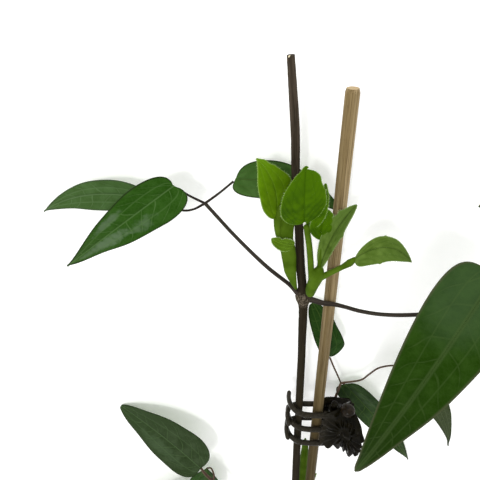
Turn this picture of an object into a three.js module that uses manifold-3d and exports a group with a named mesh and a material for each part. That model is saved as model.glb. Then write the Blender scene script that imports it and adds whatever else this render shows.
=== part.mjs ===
// The cut top of an evergreen climber with leathery three-part leaves and bright young shoots,
// held against a bamboo cane by a small claw clip. It lies on a table, on the tips of its leaves.
// Millimetres. X runs across the cane, Y up along it, Z up from the table at Z = 0. The group is
// centred on its own box, with the table at Z = 0.
import * as THREE from "three";
import { mergeVertices } from "three/addons/utils/BufferGeometryUtils.js";
import Module from "manifold-3d";

const wasm = await Module();
wasm.setup();

// ---------------------------------------------------------------- driving dimensions

const AXIS_Z = 28; // height of the cane and of the stem above the table
const BLADE = 0.8; // thickness of every leaf blade

const CANE = { radius: 2.95, top: [0, 0], bottom: [2.2, -292], sides: 16 };

const STEM = {
  // x, y and radius up the old wood, from the cut foot to the cut top
  run: [
    [-6.0, -302, 2.3],
    [-6.5, -280, 2.3],
    [-7.4, -245, 2.25],
    [-8.5, -210, 2.15],
    [-9.5, -171, 2.0],
    [-10.9, -126.5, 2.05],
    [-12.2, -99, 2.15],
    [-14.7, -80, 2.05],
    [-16.5, -61, 1.9],
    [-19.2, -38, 1.8],
    [-20.8, -16, 1.8],
    [-24.0, 12, 1.45],
  ],
  upperNode: -99,
  lowerNode: -280,
  nodeSwell: 1.0, // added to the radius at a node
  nodeReach: 3.0, // half length of the swelling
};

const CLIP = {
  hinge: [10.5, -188.6, AXIS_Z],
  halfWidth: 13.5, // of each jaw's body, along the hinge
  plate: 2.0, // thickness of the handles
  armWidth: 3.6,
  armDepth: 2.8,
  toothSlim: 0.92, // of the arm's size at the tip of its tooth
  frontArms: [10.6, -1.3, -13.3], // places along the hinge
  backArms: [8.7, -3.2],
  pinRadius: 1.1,
  pinHead: 2.1,
  lugBore: 1.5,
  lugRadius: 3.2,
  frontLugs: [10.6, -10.6],
  backLugs: [7.4, -7.4],
  lugWidth: 2.2,
  flutes: 18, // in a whole turn round the boss
  fluteDepth: 1.2,
  boss: [0.59, 0.07], // hollow centre of the flutes, along the handle and across it from -1 to 1
  handleLength: 25,
  // climb of the handle away from the hinge, droop of its upper side, and how far that side spreads
  frontHandle: { climb: 1, droop: 8.5, spread: 1.2, short: 0.46 },
  backHandle: { climb: 0.5, droop: 1.2, spread: 0.6, short: 0.16 },
  springRadius: 2.15,
  springWire: 0.42,
  springTurns: 4,
  springHalf: 3.6,
};

const COLOUR = {
  wood: 0x3e342d,
  cane: 0x967d5a,
  leaf: 0x2d551e,
  leafPale: 0x41602f,
  young: 0x64901c,
  clip: 0x28231e,
  steel: 0x9a9a98,
};

// ---------------------------------------------------------------- shared shapes

const vec = (p) => new THREE.Vector3(p[0], p[1], p[2]);

/** A closed geometry from a flat list of points and a list of triangles. */
function closedGeometry(points, triangles) {
  const geometry = new THREE.BufferGeometry();
  geometry.setAttribute("position", new THREE.Float32BufferAttribute(points, 3));
  geometry.setIndex(triangles);
  return geometry;
}

/** A tube with round ends of fans through the points [x, y, z, radius]. */
function tube(run, { sides = 8, steps = 12, flat = 1, across = null } = {}) {
  const curve = new THREE.CatmullRomCurve3(run.map(vec), false, "centripetal");
  const frames = curve.computeFrenetFrames(steps, false);
  const points = [];
  const triangles = [];
  for (let i = 0; i <= steps; i += 1) {
    const at = i / steps;
    const centre = curve.getPoint(at);
    const place = at * (run.length - 1);
    const low = Math.min(Math.floor(place), run.length - 2);
    const radius = THREE.MathUtils.lerp(run[low][3], run[low + 1][3], place - low);
    const tangent = curve.getTangent(at);
    const side = across
      ? vec(across).addScaledVector(tangent, -tangent.dot(vec(across))).normalize()
      : frames.normals[i];
    const rise = new THREE.Vector3().crossVectors(tangent, side).normalize();
    for (let k = 0; k < sides; k += 1) {
      const angle = (k / sides) * 2 * Math.PI;
      const point = centre.clone();
      point.addScaledVector(side, Math.cos(angle) * radius);
      point.addScaledVector(rise, Math.sin(angle) * radius * flat);
      points.push(point.x, point.y, point.z);
    }
  }
  for (let i = 0; i < steps; i += 1) {
    for (let k = 0; k < sides; k += 1) {
      const a = i * sides + k;
      const b = i * sides + ((k + 1) % sides);
      triangles.push(a, b, b + sides, a, b + sides, a + sides);
    }
  }
  const last = steps * sides;
  for (let k = 1; k < sides - 1; k += 1) {
    triangles.push(0, k + 1, k, last, last + k, last + k + 1);
  }
  return closedGeometry(points, triangles);
}

/** A closed plate over a grid of points, thickened along a direction given per point. */
function plate(rows, columns, surface) {
  const points = [];
  const triangles = [];
  const width = columns + 1;
  const count = (rows + 1) * width;
  const lower = [];
  for (let i = 0; i <= rows; i += 1) {
    for (let j = 0; j <= columns; j += 1) {
      const [upper, under] = surface(i / rows, j / columns);
      points.push(upper.x, upper.y, upper.z);
      lower.push(under.x, under.y, under.z);
    }
  }
  points.push(...lower);
  const cell = (a, b, c, d) => {
    triangles.push(a, b, c, a, c, d);
    triangles.push(a + count, c + count, b + count, a + count, d + count, c + count);
  };
  for (let i = 0; i < rows; i += 1) {
    for (let j = 0; j < columns; j += 1) {
      const a = i * width + j;
      cell(a, a + 1, a + width + 1, a + width);
    }
  }
  const wall = (a, b) => triangles.push(a, a + count, b + count, a, b + count, b);
  for (let j = 0; j < columns; j += 1) {
    wall(j, j + 1);
    wall(rows * width + j + 1, rows * width + j);
  }
  for (let i = 0; i < rows; i += 1) {
    wall((i + 1) * width, i * width);
    wall(i * width + columns, (i + 1) * width + columns);
  }
  return closedGeometry(points, triangles);
}

/**
 * One leaf blade. The midrib runs from base to tip, arched off the blade and bowed in its plane.
 * The half width follows s^rise * (1 - s)^fall, whose widest place is rise / (rise + fall).
 * Angles are in degrees: roll turns the blade about its midrib, twist turns it along its length,
 * fold lifts both halves. The tip is cut back by a part of the length and rounded off. What would
 * sink below the table lies flat on it.
 */
function blade(leaf, { rows = 13, half = 3 } = {}) {
  const { base, tip, width } = leaf;
  const { roll = 0, twist = 0, fold = 6, arch = 2, bow = 0 } = leaf;
  const { rise = 0.4, fall = 1.1, lobe = 0.03, lean = 0, wave = 0.5, cut = 0.012 } = leaf;
  const start = vec(base);
  const chord = vec(tip).sub(start);
  const length = chord.length();
  chord.normalize();
  const upward = new THREE.Vector3(0, 0, 1).addScaledVector(chord, -chord.z).normalize();
  const side = new THREE.Vector3().crossVectors(upward, chord);
  const rad = THREE.MathUtils.degToRad;
  const turned = (degrees) => {
    const c = Math.cos(rad(degrees));
    const s = Math.sin(rad(degrees));
    return [
      upward.clone().multiplyScalar(c).addScaledVector(side, s),
      side.clone().multiplyScalar(c).addScaledVector(upward, -s),
    ];
  };
  const [midUp, midSide] = turned(roll);
  const widest = rise / (rise + fall);
  const surface = (u, v) => {
    const run = (1 - Math.cos(Math.PI * u)) / 2;
    const s = run * (1 - cut);
    const t = 2 * v - 1;
    const end = Math.sqrt(1 - Math.max(0, (run - 1 + cut) / cut) ** 2);
    const [up, across] = turned(roll + twist * (s - 0.5));
    const taper = (s / widest) ** rise * ((1 - s) / (1 - widest)) ** fall;
    const reach = Math.max(width * taper * (1 + lean * Math.sign(t)) * end, 0.45);
    const hump = 4 * s * (1 - s);
    const back = lobe * length * Math.abs(t) ** 1.5 * Math.exp(-s / 0.1) * (taper / (taper + 0.25));
    const ripple = wave * t * t * Math.sin(5.2 * Math.PI * s + (t > 0 ? 0 : 1.5)) * Math.min(1, 4 * s);
    const middle = start.clone();
    middle.addScaledVector(chord, length * s - back);
    middle.addScaledVector(midUp, arch * hump);
    middle.addScaledVector(midSide, bow * hump);
    middle.addScaledVector(across, reach * t * Math.cos(rad(fold)));
    middle.addScaledVector(up, reach * Math.abs(t) * Math.sin(rad(fold)) + ripple);
    const upper = middle.clone().addScaledVector(up, BLADE / 2);
    const under = middle.clone().addScaledVector(up, -BLADE / 2);
    under.z = Math.max(under.z, 0);
    upper.z = Math.max(upper.z, BLADE);
    return [upper, under];
  };
  return plate(rows, 2 * half, (u, v) => surface(u, 1 - v));
}

/** A manifold solid from a closed geometry. */
function solid(geometry) {
  const bare = geometry.clone();
  bare.deleteAttribute("normal");
  bare.deleteAttribute("uv");
  const merged = mergeVertices(bare, 1e-4);
  return new wasm.Manifold(
    new wasm.Mesh({
      numProp: 3,
      vertProperties: new Float32Array(merged.attributes.position.array),
      triVerts: new Uint32Array(merged.index.array),
    }),
  );
}

/** Geometry back from a manifold solid. */
function geometryOf(body) {
  const mesh = body.getMesh();
  const geometry = new THREE.BufferGeometry();
  geometry.setAttribute("position", new THREE.Float32BufferAttribute(mesh.vertProperties, 3));
  geometry.setIndex(Array.from(mesh.triVerts));
  return geometry;
}

/** All the geometries fused into one body, less the cutters. */
function fuse(parts, cutters = []) {
  const joined = parts.map(solid).reduce((whole, part) => whole.add(part));
  return geometryOf(cutters.map(solid).reduce((whole, cutter) => whole.subtract(cutter), joined));
}

// ---------------------------------------------------------------- the old wood and its stalks

/** The woody stem, with a swelling at each node and a shallow notch in its cut top. */
function stemTube() {
  const rings = [];
  const { run, nodeSwell, nodeReach } = STEM;
  const curve = new THREE.CatmullRomCurve3(run.map(([x, y, r]) => new THREE.Vector3(x, y, r)));
  const nodes = [STEM.lowerNode, STEM.upperNode];
  const stops = [];
  for (let i = 0; i <= 22; i += 1) {
    stops.push(curve.getPoint(i / 22));
  }
  for (const node of nodes) {
    for (const step of [-1.6, -0.7, 0, 0.7, 1.6]) {
      const near = stops.reduce((a, b) => (Math.abs(a.y - node) < Math.abs(b.y - node) ? a : b));
      stops.push(new THREE.Vector3(near.x, node + step * nodeReach, near.z));
    }
  }
  stops.sort((a, b) => a.y - b.y);
  const kept = stops.filter((p, i) => i === 0 || p.y - stops[i - 1].y > 0.9);
  for (const p of kept) {
    const swell = nodes.map((node) => nodeSwell * Math.exp(-(((p.y - node) / nodeReach) ** 2)));
    rings.push([p.x, p.y, AXIS_Z, p.z + swell[0] + swell[1]]);
  }
  return tube(rings, { sides: 10, steps: kept.length - 1 });
}

// Each stalk is a list of [x, y, z, radius] from where it grows to just short of its blade.
const LEFT_FORK = [-57.7, -51.2, 23];
const RIGHT_FORK = [62, -68, 68];
const LOW_LEFT_FORK = [-60, -259, 20];
const LOW_RIGHT_FORK = [16.7, -175.1, 12];
const STALKS = {
  left: [
    [-12.2, -99, 28, 1.3],
    [-18.8, -92.2, 27.5, 1.0],
    [-29.8, -82.9, 26, 0.95],
    [-43.8, -68.3, 24, 0.85],
    [...LEFT_FORK, 0.8],
  ],
  leftFront: [
    [...LEFT_FORK, 0.6],
    [-64.6, -46.2, 25, 0.5],
    [-67.4, -43.9, 25.4, 0.5],
    [-69.3, -42.2, 26.4, 0.5],
  ],
  leftBack: [
    [...LEFT_FORK, 0.6],
    [-63.4, -55.8, 20, 0.5],
    [-67.7, -56.9, 19, 0.5],
    [-74.8, -55.1, 18, 0.5],
    [-79.8, -52.6, 18, 0.5],
  ],
  leftThird: [[...LEFT_FORK, 0.6], [-51.1, -46.4, 22, 0.5], [-45.2, -41.9, 20.3, 0.5]],
  right: [
    [-12.2, -99.2, 28, 1.3],
    [-7.5, -99.8, 29.3, 1.0],
    [-2.2, -99.8, 31.8, 0.95],
    [1.8, -99.4, 33.0, 0.95],
    [6.0, -99.1, 35.0, 0.95],
    [12.4, -96.9, 41, 0.95],
    [20.6, -93, 48, 0.9],
    [31.7, -86.3, 56, 0.9],
    [43.2, -79, 62, 0.9],
    [...RIGHT_FORK, 0.9],
  ],
  rightBig: [[...RIGHT_FORK, 0.7], [59, -56, 73, 0.6], [51, -47.0, 76.3, 0.6], [46.8, -51.2, 76.1, 0.6]],
  rightEnd: [[...RIGHT_FORK, 0.7], [72, -74, 67.5, 0.6], [81.3, -81.5, 66.1, 0.5]],
  rightUp: [[...RIGHT_FORK, 0.7], [78, -70, 66, 0.6], [96, -70, 62, 0.5], [97.0, -66.7, 60.3, 0.5]],
  lowLeft: [
    [-6.5, -280, 28, 1.5],
    [-25, -285, 25, 1.2],
    [-46, -277, 21, 1.15],
    [...LOW_LEFT_FORK, 1.1],
  ],
  lowLeftUp: [[...LOW_LEFT_FORK, 0.9], [-65, -250.5, 20.2, 0.7], [-67.4, -245.2, 20, 0.6]],
  lowLeftEnd: [[...LOW_LEFT_FORK, 0.8], [-66, -268, 19, 0.6], [-71.3, -275.2, 18.1, 0.5]],
  lowLeftDown: [
    [...LOW_LEFT_FORK, 0.8],
    [-59.6, -252.5, 19, 0.6],
    [-61.4, -249.2, 17, 0.5],
    [-64.0, -251.7, 15.3, 0.5],
  ],
  lowRight: [
    [-6.5, -280, 28, 1.5],
    [-8.6, -274, 20.5, 1.0],
    [-6.0, -262, 16.0, 0.9],
    [-0.5, -248, 14.2, 0.85],
    [4.5, -232, 13.6, 0.8],
    [9.7, -207.4, 13.5, 0.75],
    [14.3, -187.6, 12.6, 0.75],
    [...LOW_RIGHT_FORK, 0.7],
  ],
  lowRightUp: [[...LOW_RIGHT_FORK, 0.5], [14, -168.5, 12, 0.5], [11.2, -162, 12, 0.5], [8.5, -155.6, 11, 0.5]],
  lowRightMiddle: [[...LOW_RIGHT_FORK, 0.6], [18.4, -177.4, 10.2, 0.5], [19.6, -178.9, 9.3, 0.5]],
  lowRightEnd: [
    [...LOW_RIGHT_FORK, 0.6],
    [27.5, -170.4, 14, 0.5],
    [31.1, -164.9, 15, 0.5],
    [35.2, -159, 16, 0.5],
    [39.3, -157.4, 16, 0.5],
    [44.4, -157.6, 15.2, 0.5],
    [49.9, -158.9, 14.2, 0.5],
  ],
};

/** The stem with every leaf stalk grown from it. */
function woodyStem() {
  const stalks = Object.values(STALKS).map((run) => tube(run, { sides: 6, steps: 2 * run.length - 1 }));
  return fuse([stemTube(), ...stalks]);
}

// ---------------------------------------------------------------- the old leaves

const LEAVES = {
  leaf_left_front: {
    base: [-70.3, -40.5, 28], tip: [-129.2, -92.9, 12], width: 11.5, roll: 8, twist: -4,
    fold: 5, arch: 2.2, bow: -1.3, rise: 0.28, fall: 1.22, lobe: 0.04, lean: 0.063,
  },
  leaf_left_back: {
    base: [-80.7, -52.3, 18], tip: [-139.8, -67.9, 0], width: 7.6, roll: -11,
    fold: 8, arch: 2.1, bow: -6.4, rise: 0.55, fall: 1.2, lobe: 0.05, lean: 0.04,
  },
  leaf_left_third: {
    base: [-44, -41, 20], tip: [10, -70.3, 0], width: 9.2, roll: 11, twist: -4,
    fold: 4, arch: 2.2, bow: 5.9, rise: 0.32, fall: 1.3, lobe: 0.02, lean: 0.09,
  },
  leaf_right_big: {
    base: [46.4, -52.2, 76], tip: [12.5, -180.0, 68], width: 15.0, roll: -30, twist: 9,
    fold: 8, arch: 4, bow: 1, rise: 0.2, fall: 1.04, lobe: 0.018, lean: -0.055, cut: 0.04,
  },
  leaf_right_end: {
    base: [82, -82, 66], tip: [134, -124, 34], width: 12, roll: 8,
    fold: 7, arch: 5, bow: 2, rise: 0.36, fall: 1.15,
  },
  leaf_right_up: {
    base: [96.5, -65.6, 60], tip: [46.2, -37, 52], width: 9.5, roll: -6,
    fold: 7, arch: 4, bow: -2, rise: 0.36, fall: 1.15,
  },
  leaf_low_left_up: {
    base: [-68.0, -244.8, 20], tip: [-119.4, -208.4, 0], width: 17.2, roll: 1, twist: 18,
    fold: 5, arch: 3.2, bow: -5.2, rise: 0.29, fall: 0.56, lobe: 0.02, lean: -0.1,
  },
  leaf_low_left_end: {
    base: [-72, -276, 18], tip: [-126, -312, 0], width: 12, roll: 4,
    fold: 7, arch: 3, bow: 1, rise: 0.36, fall: 1.1,
  },
  leaf_low_left_down: {
    base: [-64.4, -252.8, 15], tip: [-72, -319, 0], width: 12.5, roll: -5,
    fold: 6, arch: 2, bow: 1, rise: 0.36, fall: 1.1, lobe: 0.04,
  },
  leaf_low_right_up: {
    base: [8.3, -155, 11], tip: [-4.1, -116.7, 10], width: 7.5, roll: 5,
    fold: 7, arch: 4, bow: -3.2, rise: 0.34, fall: 0.45, lobe: 0.02, wave: 0.3,
  },
  leaf_low_right_middle: {
    base: [20.2, -179.6, 9], tip: [75.5, -265.2, 0], width: 10, roll: -12, twist: 2,
    fold: 6, arch: 2.9, bow: 3.6, rise: 0.24, fall: 1.05, lobe: 0.01, lean: 0.03,
  },
  leaf_low_right_end: {
    base: [50.6, -159.4, 14], tip: [100.2, -250.3, 0], width: 8, roll: 0,
    fold: 6, arch: 2.9, bow: 6.3, rise: 0.45, fall: 1.4, lobe: 0.02,
  },
};
const PALE_LEAVES = new Set(["leaf_left_back", "leaf_low_left_up", "leaf_low_right_end"]);

// ---------------------------------------------------------------- the young shoots

/** The sheathed shoot on the left of the upper node, with its leaf and a small bract. */
function leftShoot() {
  const sheath = [
    [-15.9, -93.6, 29.4, 0.6],
    [-17.6, -87.5, 30, 1.5],
    [-19.9, -79, 30.4, 2.7],
    [-21.6, -70.9, 30.6, 3.1],
    [-23.0, -63, 30.6, 3.4],
    [-25.4, -57, 30.4, 2.6],
    [-27.0, -52.5, 30.4, 1.0],
  ];
  const leaf = {
    base: [-26.9, -54.7, 30], tip: [-36.4, -24.2, 36], width: 7.7, roll: -36, twist: 15,
    fold: 2, arch: 1.2, bow: -3.3, rise: 0.8, fall: 1.15, lobe: 0, lean: 0.14, wave: 0.2,
  };
  const bract = {
    base: [-21.6, -67.6, 31], tip: [-28.6, -65.2, 32.4], width: 2.9, fold: 8,
    arch: 0.3, rise: 0.4, fall: 0.9, lobe: 0, wave: 0,
  };
  return fuse([
    tube(sheath, { sides: 8, steps: 12, flat: 0.55, across: [1, 0, 0] }),
    blade(leaf, { rows: 9 }),
    blade(bract, { rows: 5, half: 2 }),
  ]);
}

/** The shoot on the right of the upper node: a round leaf, a folded one, and one on a stalk. */
function rightShoot() {
  const runs = [
    [[-9.6, -95.4, 32.1, 1.8], [-9.0, -91, 32.4, 2.3], [-7.8, -84, 33.4, 2.5], [-6.6, -78, 34.2, 1.9]],
    [[-8.8, -88, 33, 1.2], [-10.4, -79, 34, 1.3], [-12.6, -65, 35, 1.2], [-14.8, -54.4, 36, 1.1]],
    [[-7.6, -85, 33.6, 1.4], [-4.2, -81.9, 34.2, 1.3], [-0.1, -78.6, 35, 1.2], [2.7, -75.4, 36.8, 1.2],
      [5.0, -71.7, 39, 1.7], [6.8, -68.0, 41, 0.9]],
    [[-7.0, -80, 33.6, 1.0], [-6.8, -72, 33.2, 0.9], [-6.8, -62.6, 33, 0.7]],
  ];
  const roundLeaf = {
    base: [-15.4, -53.2, 36], tip: [-17.2, -26.2, 40], width: 9.9, roll: -16, twist: 6,
    fold: 8, arch: 2, bow: 1.2, rise: 0.56, fall: 0.8, lobe: 0.04, lean: 0.09, wave: 0.2,
  };
  const behindLeaf = {
    base: [-12.8, -57, 34.6], tip: [-7.9, -36, 34.8], width: 3.8, roll: 4,
    fold: 6, arch: 1, bow: -0.4, rise: 0.5, fall: 0.8, lobe: 0, wave: 0.2,
  };
  const foldedLeaf = {
    base: [-6.7, -78.8, 34], tip: [4.7, -43.3, 39], width: 4.2, roll: 43,
    fold: 25, arch: 0.5, bow: 2.2, rise: 0.75, fall: 0.55, lobe: 0, wave: 0.2,
  };
  const oliveLeaf = {
    base: [-6.8, -63.6, 33], tip: [-6.2, -48.3, 34], width: 5.4, roll: -2,
    fold: 8, arch: 1.2, bow: 1.4, rise: 0.7, fall: 0.65, lobe: 0.08, wave: 0.2,
  };
  const stalkedLeaf = {
    base: [6.5, -68.0, 41], tip: [29.8, -68.3, 44], width: 7, roll: -1,
    fold: 15, arch: 2.2, bow: 8, rise: 0.41, fall: 0.9, lobe: 0, wave: 0.2,
  };
  const leaves = [roundLeaf, behindLeaf, foldedLeaf, oliveLeaf, stalkedLeaf];
  return fuse([
    ...runs.map((run) => tube(run, { sides: 6, steps: 2 * run.length })),
    ...leaves.map((leaf) => blade(leaf, { rows: 8, half: 2 })),
  ]);
}

/** The closed bud from the lower node, standing between the stem and the cane. */
function lowerShoot() {
  const bud = [
    [-4.6, -277.4, 24.2, 1.0],
    [-3.0, -266, 22.4, 1.9],
    [-2.1, -254, 22, 2.5],
    [-2.0, -232, 21, 2.7],
    [-2.2, -219, 21, 1.9],
    [-2.6, -213, 21, 0.4],
  ];
  const leaf = {
    base: [-2.6, -262, 21], tip: [7.6, -251, 19.6], width: 2.8, roll: 0,
    fold: 8, arch: 0.8, rise: 0.45, fall: 0.9, lobe: 0, wave: 0.2,
  };
  return fuse([
    tube(bud, { sides: 8, steps: 14, flat: 0.8, across: [1, 0, 0] }),
    blade(leaf, { rows: 7, half: 2 }),
  ]);
}

// ---------------------------------------------------------------- the cane

/** The straight cane, cut square at both ends. */
function cane() {
  const { radius, top, bottom, sides } = CANE;
  const from = new THREE.Vector3(bottom[0], bottom[1], AXIS_Z);
  const to = new THREE.Vector3(top[0], top[1], AXIS_Z);
  const points = [];
  const triangles = [];
  const steps = 6;
  for (let i = 0; i <= steps; i += 1) {
    const centre = from.clone().lerp(to, i / steps);
    for (let k = 0; k < sides; k += 1) {
      const angle = (k / sides) * 2 * Math.PI;
      points.push(centre.x + radius * Math.cos(angle), centre.y, centre.z - radius * Math.sin(angle));
    }
  }
  for (let i = 0; i < steps; i += 1) {
    for (let k = 0; k < sides; k += 1) {
      const a = i * sides + k;
      const b = i * sides + ((k + 1) % sides);
      triangles.push(a, b, b + sides, a, b + sides, a + sides);
    }
  }
  const last = steps * sides;
  for (let k = 1; k < sides - 1; k += 1) {
    triangles.push(0, k + 1, k, last, last + k, last + k + 1);
  }
  return closedGeometry(points, triangles);
}

// ---------------------------------------------------------------- the claw clip

// Profiles are in the plane across the hinge, x to the right and z up, from the hinge's axis.
const ARM_PROFILE = {
  front: [[-3.4, 4.9], [-7.5, 4.8], [-13, 4.8], [-19.5, 4.7], [-23.6, 3.2], [-25.1, -0.4], [-25.3, -5], [-24.6, -9.6]],
  back: [[-3.4, -4.9], [-7.5, -4.8], [-13, -4.8], [-19.5, -4.9], [-24.3, -3.4], [-26, 0.2], [-26.2, 4.6], [-25.6, 8.4]],
};
// How far each bend of an arm leans along the hinge, so that the two rows of teeth interleave.
const ARM_LEAN = {
  front: [0, 0, 0.1, 1.6, 4.2, 4.3, 3.6, 3.1],
  back: [0, 0, 0, -0.2, -0.7, -1.1, -1.6, -2.2],
};
const HANDLE_PROFILE = [
  [-7.4, 4.9], [-4.6, 5.0], [-1.5, 6.1], [2.0, 7.0], [5.4, 9.4], [8.2, 12.6], [10.6, 15.6], [12.8, 18.5],
];

/** A point of the clip's own frame, [x, z] across the hinge and y along it, in the part's frame. */
function clipPoint(x, y, z) {
  const [hingeX, hingeY, hingeZ] = CLIP.hinge;
  return new THREE.Vector3(hingeX + x, hingeY + y, hingeZ + z);
}

/** One curved arm with its tooth. */
function arm(profile, root, lean) {
  const lastBend = profile.length - 1;
  const run = profile.map(([x, z], i) => {
    const place = clipPoint(x, root + lean[i], z);
    const slim = THREE.MathUtils.lerp(1, CLIP.toothSlim, Math.max(0, (i - 3) / (lastBend - 3)));
    return [place.x, place.y, place.z, (CLIP.armWidth / 2) * slim];
  });
  const flat = CLIP.armDepth / CLIP.armWidth;
  return tube(run, { sides: 6, steps: 12, flat, across: [0, 1, 0] });
}

/**
 * A shell handle with flutes that fan out from a boss and fade towards its smooth upper shoulder.
 * Lift is 1 for the front handle and -1 for the back one.
 */
function handle(lift) {
  const { halfWidth, plate: thick, flutes, fluteDepth, boss, handleLength } = CLIP;
  const { climb, droop, spread, short } = lift > 0 ? CLIP.frontHandle : CLIP.backHandle;
  const { lerp, smoothstep } = THREE.MathUtils;
  const foot = HANDLE_PROFILE[0][1];
  const curve = new THREE.CatmullRomCurve3(
    HANDLE_PROFILE.map(([x, z]) => new THREE.Vector3(x, 0, foot + climb * (z - foot))),
  );
  const surface = (u, v) => {
    const t = 2 * v - 1;
    const upper = t > 0;
    const outward = smoothstep(u, 0.23, 0.61);
    const [along, over] = [handleLength * (u - boss[0]), halfWidth * (t - boss[1])];
    const grown = smoothstep(Math.hypot(along, over), 2, 6) * (1 - smoothstep(t, 0.45, 0.8));
    const rib = 2 * Math.abs(Math.cos((flutes / 2) * Math.atan2(over, along))) - 1;
    const drawn = (upper ? short * smoothstep(t, 0.35, 1) : 0.2 * t * t) * smoothstep(u, 0.44, 0.91);
    const reach = u * (1 - drawn - 0.02 * (1 - rib) * grown);
    const centre = curve.getPoint(reach);
    const tangent = curve.getTangent(reach);
    const normal = new THREE.Vector3(-tangent.z, 0, tangent.x);
    const wide = upper ? lerp(1, spread, outward) : 1 - 0.08 * outward + 0.05 * rib * grown;
    const sunk = (upper ? droop : 1.2) * t * t * outward;
    const outer = thick / 2 + fluteDepth * (0.5 + 0.5 * rib) * grown - sunk;
    const inner = -thick / 2 - sunk;
    const place = (offset) =>
      clipPoint(centre.x + normal.x * offset, halfWidth * wide * t, lift * (centre.z + normal.z * offset));
    return [place(outer), place(inner)];
  };
  const across = lift > 0 ? (u, v) => surface(u, 1 - v) : surface;
  return lift > 0 ? plate(16, 28, across) : plate(12, 18, across);
}

/** A lug that carries the pin: a disc round the hinge and a web out to the handle. */
function lug(place, lift) {
  const { lugRadius, lugWidth } = CLIP;
  const outline = new THREE.Shape();
  const reach = 6.2;
  outline.moveTo(-lugRadius, 0);
  outline.absarc(0, 0, lugRadius, Math.PI, 2 * Math.PI, false);
  outline.lineTo(3.0, reach);
  outline.lineTo(-2.6, reach - 0.6);
  outline.closePath();
  const geometry = new THREE.ExtrudeGeometry(outline, { depth: lugWidth, bevelEnabled: false, curveSegments: 9 });
  geometry.rotateX(Math.PI / 2);
  if (lift < 0) {
    geometry.rotateX(Math.PI);
  }
  const shift = lift > 0 ? lugWidth / 2 : -lugWidth / 2;
  const centre = clipPoint(0, place + shift, 0);
  return geometry.translate(centre.x, centre.y, centre.z);
}

/** A round bar along the hinge between two places on it. */
function hingeBar(radius, from, to, sides) {
  const bar = new THREE.CylinderGeometry(radius, radius, to - from, sides, 1);
  const centre = clipPoint(0, (from + to) / 2, 0);
  return bar.translate(centre.x, centre.y, centre.z);
}

/** One jaw: its arms and teeth, its fluted handle and its two bored lugs. */
function jaw(lift) {
  const front = lift > 0;
  const roots = front ? CLIP.frontArms : CLIP.backArms;
  const lean = front ? ARM_LEAN.front : ARM_LEAN.back;
  const profile = front ? ARM_PROFILE.front : ARM_PROFILE.back;
  const lugs = front ? CLIP.frontLugs : CLIP.backLugs;
  const arms = roots.map((root) => arm(profile, root, lean));
  const bore = hingeBar(CLIP.lugBore, -CLIP.halfWidth - 2, CLIP.halfWidth + 2, 14);
  return fuse([handle(lift), ...arms, ...lugs.map((place) => lug(place, lift))], [bore]);
}

/** The hinge pin with its two round heads. */
function pin() {
  const { halfWidth, pinRadius, pinHead } = CLIP;
  return fuse([
    hingeBar(pinRadius, -halfWidth - 1, halfWidth + 1, 12),
    hingeBar(pinHead, halfWidth - 1.2, halfWidth + 1.6, 12),
    hingeBar(pinHead, -halfWidth - 1.6, -halfWidth + 1.2, 12),
  ]);
}

/** The steel coil round the pin, with a leg under each handle. */
function spring() {
  const { springRadius, springWire, springTurns, springHalf } = CLIP;
  const run = [];
  const legEnd = { x: 4.3, upper: 6.0, lower: 4.8 };
  const add = (x, y, z) => {
    const place = clipPoint(x, y, z);
    run.push([place.x, place.y, place.z, springWire]);
  };
  const perTurn = 10;
  const whole = springTurns * perTurn;
  add(legEnd.x, -springHalf, -legEnd.lower);
  add((legEnd.x + springRadius) / 2 + 0.4, -springHalf, -legEnd.lower / 2);
  for (let i = 0; i <= whole; i += 1) {
    const angle = (i / perTurn) * 2 * Math.PI;
    add(springRadius * Math.cos(angle), -springHalf + (2 * springHalf * i) / whole, springRadius * Math.sin(angle));
  }
  add((legEnd.x + springRadius) / 2 + 0.4, springHalf, legEnd.upper / 2);
  add(legEnd.x, springHalf, legEnd.upper);
  return tube(run, { sides: 6, steps: run.length - 1, across: [0, 1, 0] });
}

// ---------------------------------------------------------------- the assembly

const SURFACES = {
  wood: { color: COLOUR.wood, roughness: 0.8, metalness: 0 },
  cane: { color: COLOUR.cane, roughness: 0.65, metalness: 0 },
  leaf: { color: COLOUR.leaf, roughness: 0.4, metalness: 0 },
  leafPale: { color: COLOUR.leafPale, roughness: 0.45, metalness: 0 },
  young: { color: COLOUR.young, roughness: 0.5, metalness: 0 },
  clip: { color: COLOUR.clip, roughness: 0.25, metalness: 0 },
  steel: { color: COLOUR.steel, roughness: 0.3, metalness: 1 },
};

const plant = new THREE.Group();

/** Adds one named piece with its own material. */
function add(name, geometry, surface) {
  const mesh = new THREE.Mesh(geometry, new THREE.MeshStandardMaterial(SURFACES[surface]));
  mesh.name = name;
  plant.add(mesh);
}

add("woody_stem", woodyStem(), "wood");
add("bamboo_cane", cane(), "cane");
for (const [name, leaf] of Object.entries(LEAVES)) {
  add(name, blade(leaf), PALE_LEAVES.has(name) ? "leafPale" : "leaf");
}
add("left_young_shoot", leftShoot(), "young");
add("right_young_shoot", rightShoot(), "young");
add("lower_young_shoot", lowerShoot(), "young");
add("clip_front_jaw", jaw(1), "clip");
add("clip_back_jaw", jaw(-1), "clip");
add("clip_pin", pin(), "clip");
add("clip_spring", spring(), "steel");

const box = new THREE.Box3().setFromObject(plant, true);
const middle = box.getCenter(new THREE.Vector3());
plant.position.set(-middle.x, -middle.y, 0);

export default plant;
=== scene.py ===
"""The cut top of an evergreen climber on a bamboo cane, held by a small claw clip.

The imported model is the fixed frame. Every piece is built here at its place in that frame, from
sizes in millimetres in the plant's own frame: x across the cane, y up along it from its cut top,
z up from the table. The shapes repeat the construction's formulas with a finer mesh, and add the
veins, bark, grain and hairs, and the boss, beads and round ear of the clip.
"""

import logging
import math
import random
from dataclasses import dataclass, field, replace
from enum import Enum
from functools import cache, partial
from typing import Callable, Optional, Protocol, Sequence

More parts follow.
